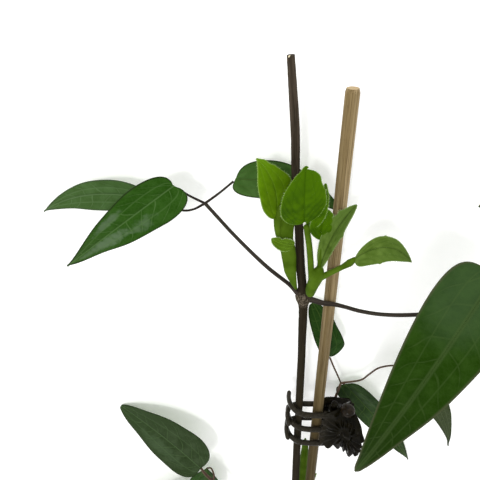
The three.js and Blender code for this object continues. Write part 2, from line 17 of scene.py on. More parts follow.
import bpy
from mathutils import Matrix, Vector, noise


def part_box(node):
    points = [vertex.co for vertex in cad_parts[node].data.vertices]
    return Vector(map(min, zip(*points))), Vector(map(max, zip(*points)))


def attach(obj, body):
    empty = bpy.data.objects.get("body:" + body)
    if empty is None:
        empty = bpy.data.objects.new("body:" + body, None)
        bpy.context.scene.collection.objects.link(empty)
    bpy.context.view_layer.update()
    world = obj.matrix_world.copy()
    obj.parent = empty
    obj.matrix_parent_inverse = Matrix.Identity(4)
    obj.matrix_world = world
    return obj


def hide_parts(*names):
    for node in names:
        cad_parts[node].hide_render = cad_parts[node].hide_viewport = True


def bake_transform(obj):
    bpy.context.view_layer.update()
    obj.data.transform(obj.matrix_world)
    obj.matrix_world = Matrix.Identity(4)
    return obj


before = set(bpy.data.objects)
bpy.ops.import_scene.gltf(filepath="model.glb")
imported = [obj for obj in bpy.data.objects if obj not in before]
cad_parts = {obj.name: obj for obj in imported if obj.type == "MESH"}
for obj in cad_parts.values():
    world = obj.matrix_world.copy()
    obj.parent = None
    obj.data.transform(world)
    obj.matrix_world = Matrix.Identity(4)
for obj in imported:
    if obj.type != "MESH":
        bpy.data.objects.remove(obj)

LOG = logging.getLogger("cutting")
MM = 0.001
ROOT_BODY = "cutting"
JAW_BODY = "front_jaw"
CANE_TOP_SHIFT = 1.1 * MM  # from the middle of the cane's box to the middle of its cut top, in x
AXIS_HEIGHT = 28.0  # of the stem and the cane above the table, mm
NODE_RUNS = (111.8, 293.0)  # of the stem's two nodes along it, from its cut top, mm

Run = Sequence[tuple[float, float, float, float]]
Colour = tuple[int, int, int]
Socket = bpy.types.NodeSocket
Piece = bpy.types.Object

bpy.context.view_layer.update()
CANE_LOW, CANE_HIGH = (Vector(corner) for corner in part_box("bamboo_cane"))
PLANT_ORIGIN = Vector(((CANE_LOW.x + CANE_HIGH.x) / 2 - CANE_TOP_SHIFT, CANE_HIGH.y, 0.0))


def row_place(point: Vector) -> Vector:
    """Turns a point of the plant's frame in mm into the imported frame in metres.

    Args:
        point: The place in millimetres.

    Returns:
        The same place in metres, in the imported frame.
    """
    return point * MM + PLANT_ORIGIN


def linear(colour: Colour) -> tuple[float, float, float, float]:
    """Gives the linear colour that Blender's sockets take.

    Args:
        colour: An sRGB colour, with parts from 0 to 255.

    Returns:
        The linear colour and an alpha of 1.
    """
    parts = [c / 255 for c in colour]
    shades = [p / 12.92 if p <= 0.04045 else ((p + 0.055) / 1.055) ** 2.4 for p in parts]
    return (*shades, 1.0)


def smooth(value: float, low: float, high: float) -> float:
    """Rises smoothly from 0 at low to 1 at high."""
    part = min(1.0, max(0.0, (value - low) / (high - low)))
    return part * part * (3 - 2 * part)


def around(angle: float, along: float, turns: float, stretch: float) -> float:
    """Gives noise that closes on itself round a rod."""
    return noise.noise(Vector((math.cos(angle) * turns, math.sin(angle) * turns, along * stretch)))


# ------------------------------------------------------------------ modelling


class Bench:
    """Blender's modelling operators, each run on exactly the pieces it is given."""

    @staticmethod
    def clear() -> None:
        """Leaves edit mode and deselects everything."""
        if bpy.context.object and bpy.context.object.mode != "OBJECT":
            bpy.ops.object.mode_set(mode="OBJECT")
        bpy.ops.object.select_all(action="DESELECT")

    @staticmethod
    def take(*pieces: Piece) -> None:
        """Selects only these pieces.

        Args:
            pieces: The pieces, of which the first one becomes active.
        """
        Bench.clear()
        for piece in pieces:
            piece.select_set(True)
        bpy.context.view_layer.objects.active = pieces[0]

    @staticmethod
    def named(name: str) -> Piece:
        """Names the piece that an operator has just added, and its mesh.

        Args:
            name: The piece's name.

        Returns:
            The piece.
        """
        piece = bpy.context.object
        piece.name = name
        piece.data.name = name
        return piece

    @staticmethod
    def settled(name: str) -> Piece:
        """Names the piece that an operator has just added, and applies its place, turn and scale.

        Args:
            name: The piece's name.

        Returns:
            The piece.
        """
        piece = Bench.named(name)
        bpy.ops.object.transform_apply(location=True, rotation=True, scale=True)
        return piece

    @staticmethod
    def bar(name: str, radius: float, length: float, middle: Vector, sides: int) -> Piece:
        """Adds a round bar that lies along y.

        Args:
            name: The piece's name.
            radius: Its radius in mm.
            length: Its length in mm.
            middle: Its middle in mm.
            sides: Faces round it.

        Returns:
            The closed mesh piece.
        """
        Bench.clear()
        bpy.ops.mesh.primitive_cylinder_add(
            vertices=sides,
            radius=radius * MM,
            depth=length * MM,
            location=row_place(middle),
            rotation=(math.pi / 2, 0, 0),
        )
        return Bench.settled(name)

    @staticmethod
    def flip(piece: Piece) -> None:
        """Turns all the faces of a piece round.

        Args:
            piece: The mesh piece.
        """
        Bench.take(piece)
        bpy.ops.object.mode_set(mode="EDIT")
        bpy.ops.mesh.select_all(action="SELECT")
        bpy.ops.mesh.flip_normals()
        bpy.ops.object.mode_set(mode="OBJECT")

    @staticmethod
    def seal(piece: Piece, gap: float = 0.002 * MM) -> None:
        """Merges the doubled points of a shell, fills its open ends and points its faces out.

        Args:
            piece: The mesh piece.
            gap: The distance under which points are one, in metres.
        """
        Bench.take(piece)
        bpy.ops.object.mode_set(mode="EDIT")
        bpy.ops.mesh.select_all(action="SELECT")
        bpy.ops.mesh.remove_doubles(threshold=gap)
        bpy.ops.mesh.fill_holes(sides=0)
        bpy.ops.mesh.select_all(action="SELECT")
        bpy.ops.mesh.normals_make_consistent(inside=False)
        bpy.ops.object.mode_set(mode="OBJECT")

    @staticmethod
    def modify(piece: Piece, kind: str, **settings: object) -> None:
        """Adds a modifier to a piece and applies it.

        Args:
            piece: The mesh piece.
            kind: Blender's name of the modifier's type.
            settings: The modifier's properties.
        """
        Bench.take(piece)
        modifier = piece.modifiers.new(kind.title(), kind)
        for key, value in settings.items():
            setattr(modifier, key, value)
        bpy.ops.object.modifier_apply(modifier=modifier.name)

    @staticmethod
    def join(name: str, pieces: Sequence[Piece]) -> Piece:
        """Joins pieces into one and names it.

        Args:
            name: The name of the whole.
            pieces: The pieces, of which the first stays.

        Returns:
            The joined piece.
        """
        Bench.take(*pieces)
        if len(pieces) > 1:
            bpy.ops.object.join()
        return Bench.named(name)

    @staticmethod
    def shade(piece: Piece, degrees: float = 40.0) -> None:
        """Shades a piece smooth except across edges sharper than an angle."""
        Bench.take(piece)
        bpy.ops.object.shade_smooth_by_angle(angle=math.radians(degrees))

    @staticmethod
    def sheet(
        name: str,
        along: int,
        across: int,
        place: Callable[[float, float], tuple[Vector, Vector]],
    ) -> Piece:
        """Adds a grid and lays it on a surface.

        Args:
            name: The piece's name.
            along: Number of cells along the first direction.
            across: Number of cells along the second direction.
            place: Gives the point in mm, and the mark to keep with it, at (u, v) from 0 to 1.

        Returns:
            The laid sheet, with the marks in its attribute "grown".
        """
        Bench.clear()
        bpy.ops.mesh.primitive_grid_add(x_subdivisions=across, y_subdivisions=along, size=2)
        piece = Bench.named(name)
        marks = piece.data.attributes.new("grown", "FLOAT_VECTOR", "POINT")
        for vertex, mark in zip(piece.data.vertices, marks.data):
            u, v = (vertex.co.y + 1) / 2, (vertex.co.x + 1) / 2
            point, kept = place(u, v)
            vertex.co = row_place(point)
            mark.vector = kept
        return piece

    @staticmethod
    def dress(piece: Piece, *finishes: "Finish") -> None:
        """Gives a piece exactly these finishes.

        Args:
            piece: The mesh piece.
            finishes: The finishes, in the order of the piece's material slots.
        """
        piece.data.materials.clear()
        for finish in finishes:
            piece.data.materials.append(material(finish))

    @staticmethod
    def hand_over(
        piece: Piece,
        slot: str,
        nodes: Sequence[str] = (),
        body: str = ROOT_BODY,
    ) -> Piece:
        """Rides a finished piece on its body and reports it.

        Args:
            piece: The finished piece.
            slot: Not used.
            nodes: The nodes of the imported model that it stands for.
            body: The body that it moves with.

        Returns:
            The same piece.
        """
        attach(piece, body)
        if nodes:
            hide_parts(*nodes)
        LOG.info("%s: %d faces, on %s", piece.name, len(piece.data.polygons), body)
        return piece


def curve_point(run: Run, at: float) -> Vector:
    """Gives a point of the centripetal Catmull-Rom curve through a run.

    Args:
        run: Points as (x, y, z, radius).
        at: The place along the run, from 0 to 1, with equal steps between its points.

    Returns:
        The point, in the run's own unit.
    """
    points = [Vector(stop[:3]) for stop in run]
    place = at * (len(points) - 1)
    low = min(int(place), len(points) - 2)
    weight = place - low
    before = points[low - 1] if low > 0 else 2 * points[0] - points[1]
    after = points[low + 2] if low + 2 < len(points) else 2 * points[-1] - points[-2]
    start, end = points[low], points[low + 1]
    first, middle, last = (
        max((b - a).length ** 0.5, 1e-4) for a, b in ((before, start), (start, end), (end, after))
    )
    leave = (start - before) / first - (end - before) / (first + middle) + (end - start) / middle
    arrive = (end - start) / middle - (after - start) / (middle + last) + (after - end) / last
    leave, arrive = leave * middle, arrive * middle
    bend = -3 * start + 3 * end - 2 * leave - arrive
    twist = 2 * start - 2 * end + leave + arrive
    return start + leave * weight + bend * weight**2 + twist * weight**3


@dataclass(frozen=True)
class Tube:
    """A round or flattened rod along a run of points.

    Attributes:
        run: Points as (x, y, z, radius) in mm.
        sides: Faces round the rod.
        steps: Rings along the rod.
        flat: Height of the section against its width.
        across: The direction that the section's width lies in, if it matters.
        relief: Adds to the radius, in mm, at a distance along the rod and an angle round it.
        round_ends: Rounds both ends off within the length of a radius.
    """

    run: Run
    sides: int = 16
    steps: int = 40
    flat: float = 1.0
    across: Optional[tuple[float, float, float]] = None
    relief: Optional[Callable[[float, float], float]] = None
    round_ends: bool = False

    def rings(self) -> list[tuple[Vector, Vector, Vector, float, float]]:
        """Works out the rod's rings.

        Returns:
            Each ring's centre, side, rise, radius and distance along the rod.
        """
        centres = [curve_point(self.run, i / self.steps) for i in range(self.steps + 1)]
        side = Vector(self.across) if self.across else Vector((0.31, 0.11, 0.94))
        rings, gone = [], 0.0
        for i, centre in enumerate(centres):
            ahead = centres[min(i + 1, self.steps)] - centres[max(i - 1, 0)]
            tangent = ahead.normalized()
            wanted = Vector(self.across) if self.across else side
            side = (wanted - tangent * tangent.dot(wanted)).normalized()
            place = i / self.steps * (len(self.run) - 1)
            low = min(int(place), len(self.run) - 2)
            near, far = self.run[low][3], self.run[low + 1][3]
            radius = near + (far - near) * (place - low)
            gone += (centre - centres[max(i - 1, 0)]).length
            rings.append((centre, side, tangent.cross(side), radius, gone))
        if self.round_ends:
            for i, (centre, side, rise, radius, here) in enumerate(rings):
                left = min(here, gone - here) / max(radius, 0.01)
                radius *= math.sqrt(max(0.02, 1 - max(0.0, 1 - left) ** 2))
                rings[i] = (centre, side, rise, radius, here)
        return rings

    def build(self, name: str) -> Piece:
        """Models the rod as a rolled sheet with closed ends.

        Args:
            name: The piece's name.

        Returns:
            The closed mesh piece.
        """
        rings = self.rings()

        def place(u: float, v: float) -> tuple[Vector, Vector]:
            """Gives the skin's point and its mark.

            Args:
                u: Place along the rod, from 0 to 1.
                v: Place round it, from 0 to 1.

            Returns:
                The point in mm, and the mark: its place in the section and along the rod.
            """
            centre, side, rise, radius, gone = rings[round(u * self.steps)]
            angle = 2 * math.pi * v
            bulge = self.relief(gone, angle) if self.relief else 0.0
            width = math.cos(angle) * (radius + bulge)
            height = math.sin(angle) * (radius + bulge) * self.flat
            return centre + side * width + rise * height, Vector((width, height, gone))

        piece = Bench.sheet(name, self.steps, self.sides, place)
        Bench.seal(piece)
        return piece


class Half(Enum):
    """The two halves of a blade."""

    LEFT = -1
    RIGHT = 1


@dataclass(frozen=True)
class VeinWave:
    """A slow wave that moves a blade's side veins along it.

    Attributes:
        span: The way along the blade for one radian, in mm.
        lean: How many radians it turns from midrib to margin.
        high: Its height in mm.
    """

    span: float
    lean: float
    high: float


VEIN_WAVES = (VeinWave(span=6.7, lean=2.9, high=1.5), VeinWave(span=2.9, lean=-4.1, high=0.8))
VEIN_CURVE = 0.7  # how steeply a side vein leaves the midrib, and how much steeper it gets


@dataclass(frozen=True)
class Blade:
    """One leaf blade, from its base to its tip, in mm and degrees.

    Attributes:
        base: Where the stalk meets the blade.
        tip: The point of the leaf.
        width: Half of the greatest width.
        roll: Turn of the blade about its midrib.
        twist: Turn of the blade along its length.
        fold: Lift of both halves.
        arch: Rise of the midrib's middle off the straight line.
        bow: Bend of the midrib in the blade's plane.
        rise: How fast the outline widens at the base.
        fall: How fast it narrows at the tip.
        lobe: How far the margin reaches back beside the stalk, as a part of the length.
        lean: How much wider one half is.
        wave: Height of the margin's ripple.
        cut: Part of the length by which the tip is cut back and rounded off.
        teeth: Bumps of the margin, as (place along, half, height, reach along).
        vein_at: Place of the side vein between midrib and margin.
        pitch: Distance between the veins that leave the midrib.
        relief: Depth of the sunk veins.
        thick: Thickness of the blade.
    """

    base: tuple[float, float, float]
    tip: tuple[float, float, float]
    width: float
    roll: float = 0.0
    twist: float = 0.0
    fold: float = 6.0
    arch: float = 2.0
    bow: float = 0.0
    rise: float = 0.4
    fall: float = 1.1
    lobe: float = 0.03
    lean: float = 0.0
    wave: float = 0.5
    cut: float = 0.012
    teeth: tuple[tuple[float, Half, float, float], ...] = ()
    vein_at: float = 0.47
    pitch: float = 8.0
    relief: float = 0.3
    thick: float = 0.5

    @property
    def length(self) -> float:
        """Gives the straight length of the blade in mm."""
        return (Vector(self.tip) - Vector(self.base)).length

    def turned(self, degrees: float) -> tuple[Vector, Vector]:
        """Turns the blade's directions about its chord.

        Args:
            degrees: The turn.

        Returns:
            The up and across directions after it.
        """
        chord = (Vector(self.tip) - Vector(self.base)).normalized()
        upward = (Vector((0, 0, 1)) - chord * chord.z).normalized()
        side = upward.cross(chord)
        c, s = math.cos(math.radians(degrees)), math.sin(math.radians(degrees))
        return upward * c + side * s, side * c - upward * s

    def taper(self, s: float) -> float:
        """Gives the outline's width at s along the uncut blade, against its greatest width."""
        widest = self.rise / (self.rise + self.fall)
        return (s / widest) ** self.rise * ((1 - s) / (1 - widest)) ** self.fall

    def half_width(self, run: float, t: float) -> float:
        """Gives the half width of the blade.

        Args:
            run: Place along the blade, from 0 to 1.
            t: Place across it, of which only the side counts.

        Returns:
            The half width in mm.
        """
        side = (t > 0) - (t < 0)
        end = math.sqrt(max(0.0, 1 - max(0.0, (run - 1 + self.cut) / self.cut) ** 2))
        teeth = sum(
            high * math.exp(-(((run - place) / long) ** 2))
            for place, half, high, long in self.teeth
            if half.value == side
        )
        wide = self.width * self.taper(run * (1 - self.cut)) * (1 + self.lean * side)
        return max((wide + teeth) * end, 0.45)

    def veins(self, s: float, t: float, reach: float) -> float:
        """Gives the height of the sunk veins and of the swollen cells between them.

        Args:
            s: Place along the uncut blade, from 0 to 1.
            t: Place across it, from -1 to 1.
            reach: The half width there, in mm.

        Returns:
            The height in mm.
        """
        off, along = abs(t) * reach, self.length * s
        side_vein = abs(abs(t) - self.vein_at) * reach
        drift = sum(w.high * math.sin(along / w.span + w.lean * t) for w in VEIN_WAVES)
        climb = along - off * (VEIN_CURVE + VEIN_CURVE * t * t)
        phase = (climb + drift) / self.pitch + (0.5 if t > 0 else 0.0)
        cell = abs(math.sin(math.pi * phase)) ** 0.6
        inside = smooth(off, 0.2, 1.6) * (1 - smooth(abs(t), 0.85, 1.0))
        sunk = math.exp(-((off / 0.55) ** 2)) + 0.6 * math.exp(-((side_vein / 0.6) ** 2))
        return self.relief * (0.55 * cell * inside - sunk)

    def point(self, run: float, t: float, bare: bool = False) -> tuple[Vector, Vector, Vector, float]:
        """Gives a point of the blade's middle surface.

        Args:
            run: Place along the blade, from 0 at the base to 1 at the tip.
            t: Place across it, from -1 to 1 with 0 on the midrib.
            bare: Leaves the relief of the veins out.

        Returns:
            The point in mm, the up and across directions there, and the half width.
        """
        start = Vector(self.base)
        s = run * (1 - self.cut)
        chord = (Vector(self.tip) - start).normalized()
        mid_up, mid_side = self.turned(self.roll)
        up, across = self.turned(self.roll + self.twist * (s - 0.5))
        reach = self.half_width(run, t)
        taper = self.taper(s)
        hump = 4 * s * (1 - s)
        back = self.lobe * self.length * abs(t) ** 1.5 * math.exp(-s / 0.1) * taper / (taper + 0.25)
        shift = 0.0 if t > 0 else 1.5
        ripple = self.wave * t * t * math.sin(5.2 * math.pi * s + shift) * min(1.0, 4 * s)
        relief = 0.0 if bare else self.veins(s, t, reach)
        fold = math.radians(self.fold)
        place = start + chord * (self.length * s - back)
        place += mid_up * self.arch * hump + mid_side * self.bow * hump
        place += across * reach * t * math.cos(fold)
        place += up * (reach * abs(t) * math.sin(fold) + ripple + relief)
        place.z = max(place.z, self.thick / 2 + 0.02)
        return place, up, across, reach

    def build(self, name: str, skins: Sequence["Finish"], along: int = 84, across: int = 32) -> Piece:
        """Models the blade as a thin closed shell with a thinner margin.

        Args:
            name: The piece's name.
            skins: The finish of the upper side, and of the underside if it differs.
            along: Cells from base to tip.
            across: Cells from margin to margin.

        Returns:
            The mesh piece.
        """

        def place(u: float, v: float) -> tuple[Vector, Vector]:
            """Gives the blade's point and its mark.

            Args:
                u: Place in the grid from base to tip, from 0 to 1.
                v: Place in the grid from margin to margin, from 0 to 1.

            Returns:
                The point in mm, and the mark: the way along in mm, the place across, the half width.
            """
            s = (1 - math.cos(math.pi * u)) / 2
            spread = 2 * v - 1
            t = math.copysign(abs(spread) ** 1.12, spread)
            point, _, _, reach = self.point(s, t)
            return point, Vector((self.length * s, t, reach))

        piece = Bench.sheet(name, along, across, place)
        fullness = piece.vertex_groups.new(name="fullness")
        for vertex, mark in zip(piece.data.vertices, piece.data.attributes["grown"].data):
            fullness.add([vertex.index], 1 - 0.5 * abs(mark.vector.y) ** 4, "REPLACE")
        up = self.turned(self.roll)[0]
        if piece.data.polygons[len(piece.data.polygons) // 2].normal.dot(up) < 0:
            Bench.flip(piece)
        Bench.dress(piece, *skins)
        Bench.modify(
            piece,
            "SOLIDIFY",
            thickness=self.thick * MM,
            offset=0.0,
            vertex_group="fullness",
            thickness_vertex_group=0.3,
            material_offset=len(skins) - 1,
        )
        Bench.shade(piece)
        return piece


# ------------------------------------------------------------------ finishes


class Shader:
    """A material's node tree, built up by short calls."""

    def __init__(self, name: str, **fixed: object) -> None:
        """Starts a material and sets the values that are the same all over it.

        Args:
            name: The material's name.
            fixed: Values of the shader's sockets, with underscores for spaces.
        """
        self.material = bpy.data.materials.new(name)
        self.material.use_nodes = True
        self.tree = self.material.node_tree
        self.surface = self.tree.nodes["Principled BSDF"]
        for key, value in fixed.items():
            self.surface.inputs[key.replace("_", " ")].default_value = value

    def node(self, kind: str, inputs: dict[object, object], **settings: object) -> bpy.types.Node:
        """Adds a node.

        Args:
            kind: Blender's name of the node's type.
            inputs: A socket or a value for each input, by its name or number.
            settings: The node's properties.

        Returns:
            The node.
        """
        made = self.tree.nodes.new(kind)
        for key, value in settings.items():
            setattr(made, key, value)
        for key, value in inputs.items():
            if isinstance(value, bpy.types.NodeSocket):
                self.tree.links.new(value, made.inputs[key])
            else:
                made.inputs[key].default_value = value
        return made

    def math(self, operation: str, a: object, b: object = 0.0) -> Socket:
        """Adds a maths node."""
        return self.node("ShaderNodeMath", {0: a, 1: b}, operation=operation).outputs[0]

    def times(self, a: object, b: object) -> Socket:
        """Multiplies two values."""
        return self.math("MULTIPLY", a, b)

    def over(self, a: object, b: object) -> Socket:
        """Divides a by b."""
        return self.math("DIVIDE", a, b)

    def plus(self, a: object, b: object) -> Socket:
        """Adds two values."""
        return self.math("ADD", a, b)

    def minus(self, a: object, b: object) -> Socket:
        """Takes b from a."""
        return self.math("SUBTRACT", a, b)

    def ramp(self, value: Socket, low: float, high: float, start: float, end: float) -> Socket:
        """Maps value smoothly from low..high to start..end."""
        inputs = {0: value, 1: low, 2: high, 3: start, 4: end}
        return self.node("ShaderNodeMapRange", inputs, interpolation_type="SMOOTHSTEP").outputs[0]

    def mix(self, factor: object, a: object, b: object) -> Socket:
        """Mixes two colours, each a socket or an sRGB colour."""
        first, second = (linear(c) if isinstance(c, tuple) else c for c in (a, b))
        return self.node("ShaderNodeMix", {0: factor, 6: first, 7: second}, data_type="RGBA").outputs[2]

    def grown(self) -> Socket:
        """Reads the mark kept with each point when the piece was laid."""
        return self.node("ShaderNodeAttribute", {}, attribute_name="grown").outputs["Vector"]

    def object_mm(self) -> Socket:
        """Reads the place on the object, in millimetres."""
        here = self.node("ShaderNodeTexCoord", {}).outputs["Object"]
        return self.scaled(here, (1000.0, 1000.0, 1000.0))

    def scaled(self, vector: Socket, by: tuple[float, float, float]) -> Socket:
        """Multiplies a vector part by part."""
        return self.node("ShaderNodeVectorMath", {0: vector, 1: by}, operation="MULTIPLY").outputs[0]

    def parts(self, vector: Socket) -> list[Socket]:
        """Splits a vector."""
        return list(self.node("ShaderNodeSeparateXYZ", {0: vector}).outputs)

    def noise(self, vector: Socket, scale: float, detail: float = 3.0) -> Socket:
        """Adds a noise texture and gives its grey value."""
        inputs = {"Vector": vector, "Scale": scale, "Detail": detail, "Roughness": 0.55}
        return self.node("ShaderNodeTexNoise", inputs).outputs[0]

    def net(self, vector: Socket, scale: float) -> Socket:
        """Gives the distance to the nearest edge of a net of small cells."""
        inputs = {"Vector": vector, "Scale": scale}
        return self.node("ShaderNodeTexVoronoi", inputs, feature="DISTANCE_TO_EDGE").outputs[0]

    def finish(self, colour: object, rough: object, height: object, depth: float) -> bpy.types.Material:
        """Feeds the shader and returns the material.

        Args:
            colour: The base colour's socket.
            rough: The roughness's socket or value.
            height: The height that the bump follows.
            depth: The bump's depth in millimetres.

        Returns:
            The finished material.
        """
        inputs = {"Strength": 1.0, "Distance": depth * MM, "Height": height}
        bump = self.node("ShaderNodeBump", inputs).outputs[0]
        for key, value in (("Base Color", colour), ("Roughness", rough), ("Normal", bump)):
            if isinstance(value, bpy.types.NodeSocket):
                self.tree.links.new(value, self.surface.inputs[key])
            else:
                self.surface.inputs[key].default_value = value
        return self.material


class Finish(Protocol):
    """Anything that can make its own material."""

    def make(self) -> bpy.types.Material:
        """Builds the material."""


@cache
def material(finish: Finish) -> bpy.types.Material:
    """Builds a finish's material once, however many pieces wear it."""
    return finish.make()


@dataclass(frozen=True)
class SheenPatch:
    """A painted sheen on a blade: a paler, greyer place where the blade would reflect the bright sky.

    Attributes:
        along: How far along the blade its middle is, in mm.
        half: The half of the blade that it is on.
        middle: Its middle's place across that half.
        long: Its reach along the blade, in mm.
        wide: Its reach across that half.
        strength: How much of the paler colour it takes.
        ragged: How torn its edge is.
    """

    along: float
    half: Half
    middle: float
    long: float
    wide: float
    strength: float = 0.7
    ragged: float = 2.4

    def shown(self, shader: Shader, along: Socket, t: Socket, place: Socket) -> Socket:
        """Gives how strongly the patch shows.

        Args:
            shader: The shader being built.
            along: How far along the blade a point is, in mm.
            t: Its place across the blade.
            place: Its place on the object, in mm.

        Returns:
            The strength's socket.
        """
        length = shader.over(shader.minus(along, self.along), self.long)
        facing = shader.times(t, float(self.half.value))
        width = shader.over(shader.minus(facing, self.middle), self.wide)
        far = shader.plus(shader.math("POWER", length, 2.0), shader.math("POWER", width, 2.0))
        torn = shader.times(shader.noise(place, 0.3, 6.0), self.ragged)
        edge = self.ragged / 2
        return shader.ramp(shader.plus(far, torn), edge, edge + 1, self.strength, 0.0)


@dataclass(frozen=True)
class LeafFinish:
    """The skin of a leaf: its greens, its veins and its gloss, with painted sheen and painted shade."""

    name: str
    dark: Colour = (24, 46, 3)
    light: Colour = (38, 62, 14)
    vein: Colour = (66, 90, 40)
    rim: Colour = (30, 42, 18)
    # Painted sheen: the pale grey-green that the sheen patches lay on, standing for the sky reflected on
    # the blade.
    sheen: Colour = (84, 104, 76)
    sheen_patches: tuple[SheenPatch, ...] = ()
    # The blade's own tone towards its tip together with painted light and shade along the blade: on the big
    # right leaf it is darker where the blade catches less sheen.
    tip: Colour = (32, 58, 10)
    gloss: float = 0.4
    specular: float = 0.02
    vein_strength: float = 0.65
    cross_strength: float = 0.8
    rib_width: float = 0.24
    rim_width: float = 0.9
    vein_at: float = 0.47
    pitch: float = 8.0
    length: float = 80.0

    def fitted(self, blade: Blade, name: str) -> "LeafFinish":
        """Matches the painted veins to one blade's own."""
        return replace(self, name=name, length=blade.length, pitch=blade.pitch, vein_at=blade.vein_at)

    def cells(self, shader: Shader, along: Socket, t: Socket, off: Socket) -> Socket:
        """Gives 0 on the looped cross veins and 1 in the middle of the cells between them.

        Args:
            shader: The shader being built.
            along: How far along the blade a point is, in mm.
            t: Its place across the blade.
            off: Its distance from the midrib, in mm.

        Returns:
            The value's socket.
        """
        waves = []
        for wave in VEIN_WAVES:
            angle = shader.plus(shader.over(along, wave.span), shader.times(t, wave.lean))
            waves.append(shader.times(shader.math("SINE", angle), wave.high))
        drift = shader.plus(*waves)
        curve = shader.plus(shader.times(shader.times(t, t), VEIN_CURVE), VEIN_CURVE)
        climb = shader.minus(along, shader.times(off, curve))
        half = shader.times(shader.math("GREATER_THAN", t, 0.0), 0.5)
        phase = shader.over(shader.plus(climb, drift), self.pitch)
        turn = shader.times(shader.plus(phase, half), math.pi)
        return shader.math("ABSOLUTE", shader.math("SINE", turn))

    def lines(self, shader: Shader, place: Socket, side: Socket, reach: Socket, cell: Socket) -> Socket:
        """Gives 1 on the midrib, less on the finer veins, and 0 between them.

        Args:
            shader: The shader being built.
            place: A point's place on the object, in mm.
            side: Its place between midrib and margin.
            reach: The blade's half width there, in mm.
            cell: The value that cells gives.

        Returns:
            The value's socket.
        """
        rib = shader.ramp(shader.times(side, reach), self.rib_width, self.rib_width * 2.6, 1.0, 0.0)
        gap = shader.math("ABSOLUTE", shader.minus(side, self.vein_at))
        arch = shader.ramp(shader.times(gap, reach), 0.12, 0.5, 1.0, 0.0)
        cross = shader.ramp(cell, 0.03, 0.2, 1.0, 0.0)
        faded = shader.ramp(side, 0.72, 0.96, self.cross_strength, 0.0)
        broken = shader.ramp(shader.noise(place, 0.3), 0.3, 0.6, 0.35, 1.0)
        cross = shader.times(cross, shader.times(faded, broken))
        mesh = shader.ramp(shader.net(place, 0.62), 0.0, 0.16, 1.0, 0.0)
        fine = shader.math("MAXIMUM", shader.times(arch, 0.5), cross)
        fine = shader.math("MAXIMUM", fine, shader.times(mesh, 0.12))
        return shader.math("MAXIMUM", fine, rib)

    def make(self) -> bpy.types.Material:
        """Builds the material: midrib, arching side veins, looped cross veins, a fine net, painted sheen
        patches, and painted shade on the cells and towards the tip.

        Returns:
            The finished material.
        """
        shader = Shader(self.name, Specular_IOR_Level=self.specular)
        along, t, reach = shader.parts(shader.grown())
        place = shader.object_mm()
        side = shader.math("ABSOLUTE", t)
        cell = self.cells(shader, along, t, shader.times(side, reach))
        lines = self.lines(shader, place, side, reach, cell)
        mottle = shader.ramp(shader.noise(place, 0.16), 0.35, 0.68, 0.0, 0.7)
        # Painted shade: the cells between the veins are lighter in the middle and darker by the veins, as
        # the quilted relief would be lit, on top of the leaf's own mottled tone.
        mottle_and_quilt_shade = shader.plus(mottle, shader.times(cell, 0.3))
        colour = shader.mix(mottle_and_quilt_shade, self.dark, self.light)
        # Towards the tip the blade shifts to its tip colour: its own tone there together with painted light
        # and shade along the blade.
        tip_tone_and_shade = shader.ramp(along, self.length * 0.3, self.length * 0.9, 0.0, 0.85)
        colour = shader.mix(tip_tone_and_shade, colour, self.tip)
        # Painted sheen: paler, greyer patches where the blade would reflect the bright sky.
        for patch in self.sheen_patches:
            colour = shader.mix(patch.shown(shader, along, t, place), colour, self.sheen)
        colour = shader.mix(shader.times(lines, self.vein_strength), colour, self.vein)
        rim_off = shader.times(shader.minus(1.0, side), reach)
        colour = shader.mix(shader.ramp(rim_off, 0.1, self.rim_width, 0.85, 0.0), colour, self.rim)
        rough = shader.plus(shader.times(mottle, 0.08), self.gloss)
        grain = shader.times(shader.noise(place, 2.6, 2.0), 0.25)
        height = shader.minus(grain, shader.times(lines, 0.8))
        return shader.finish(colour, rough, height, 0.12)


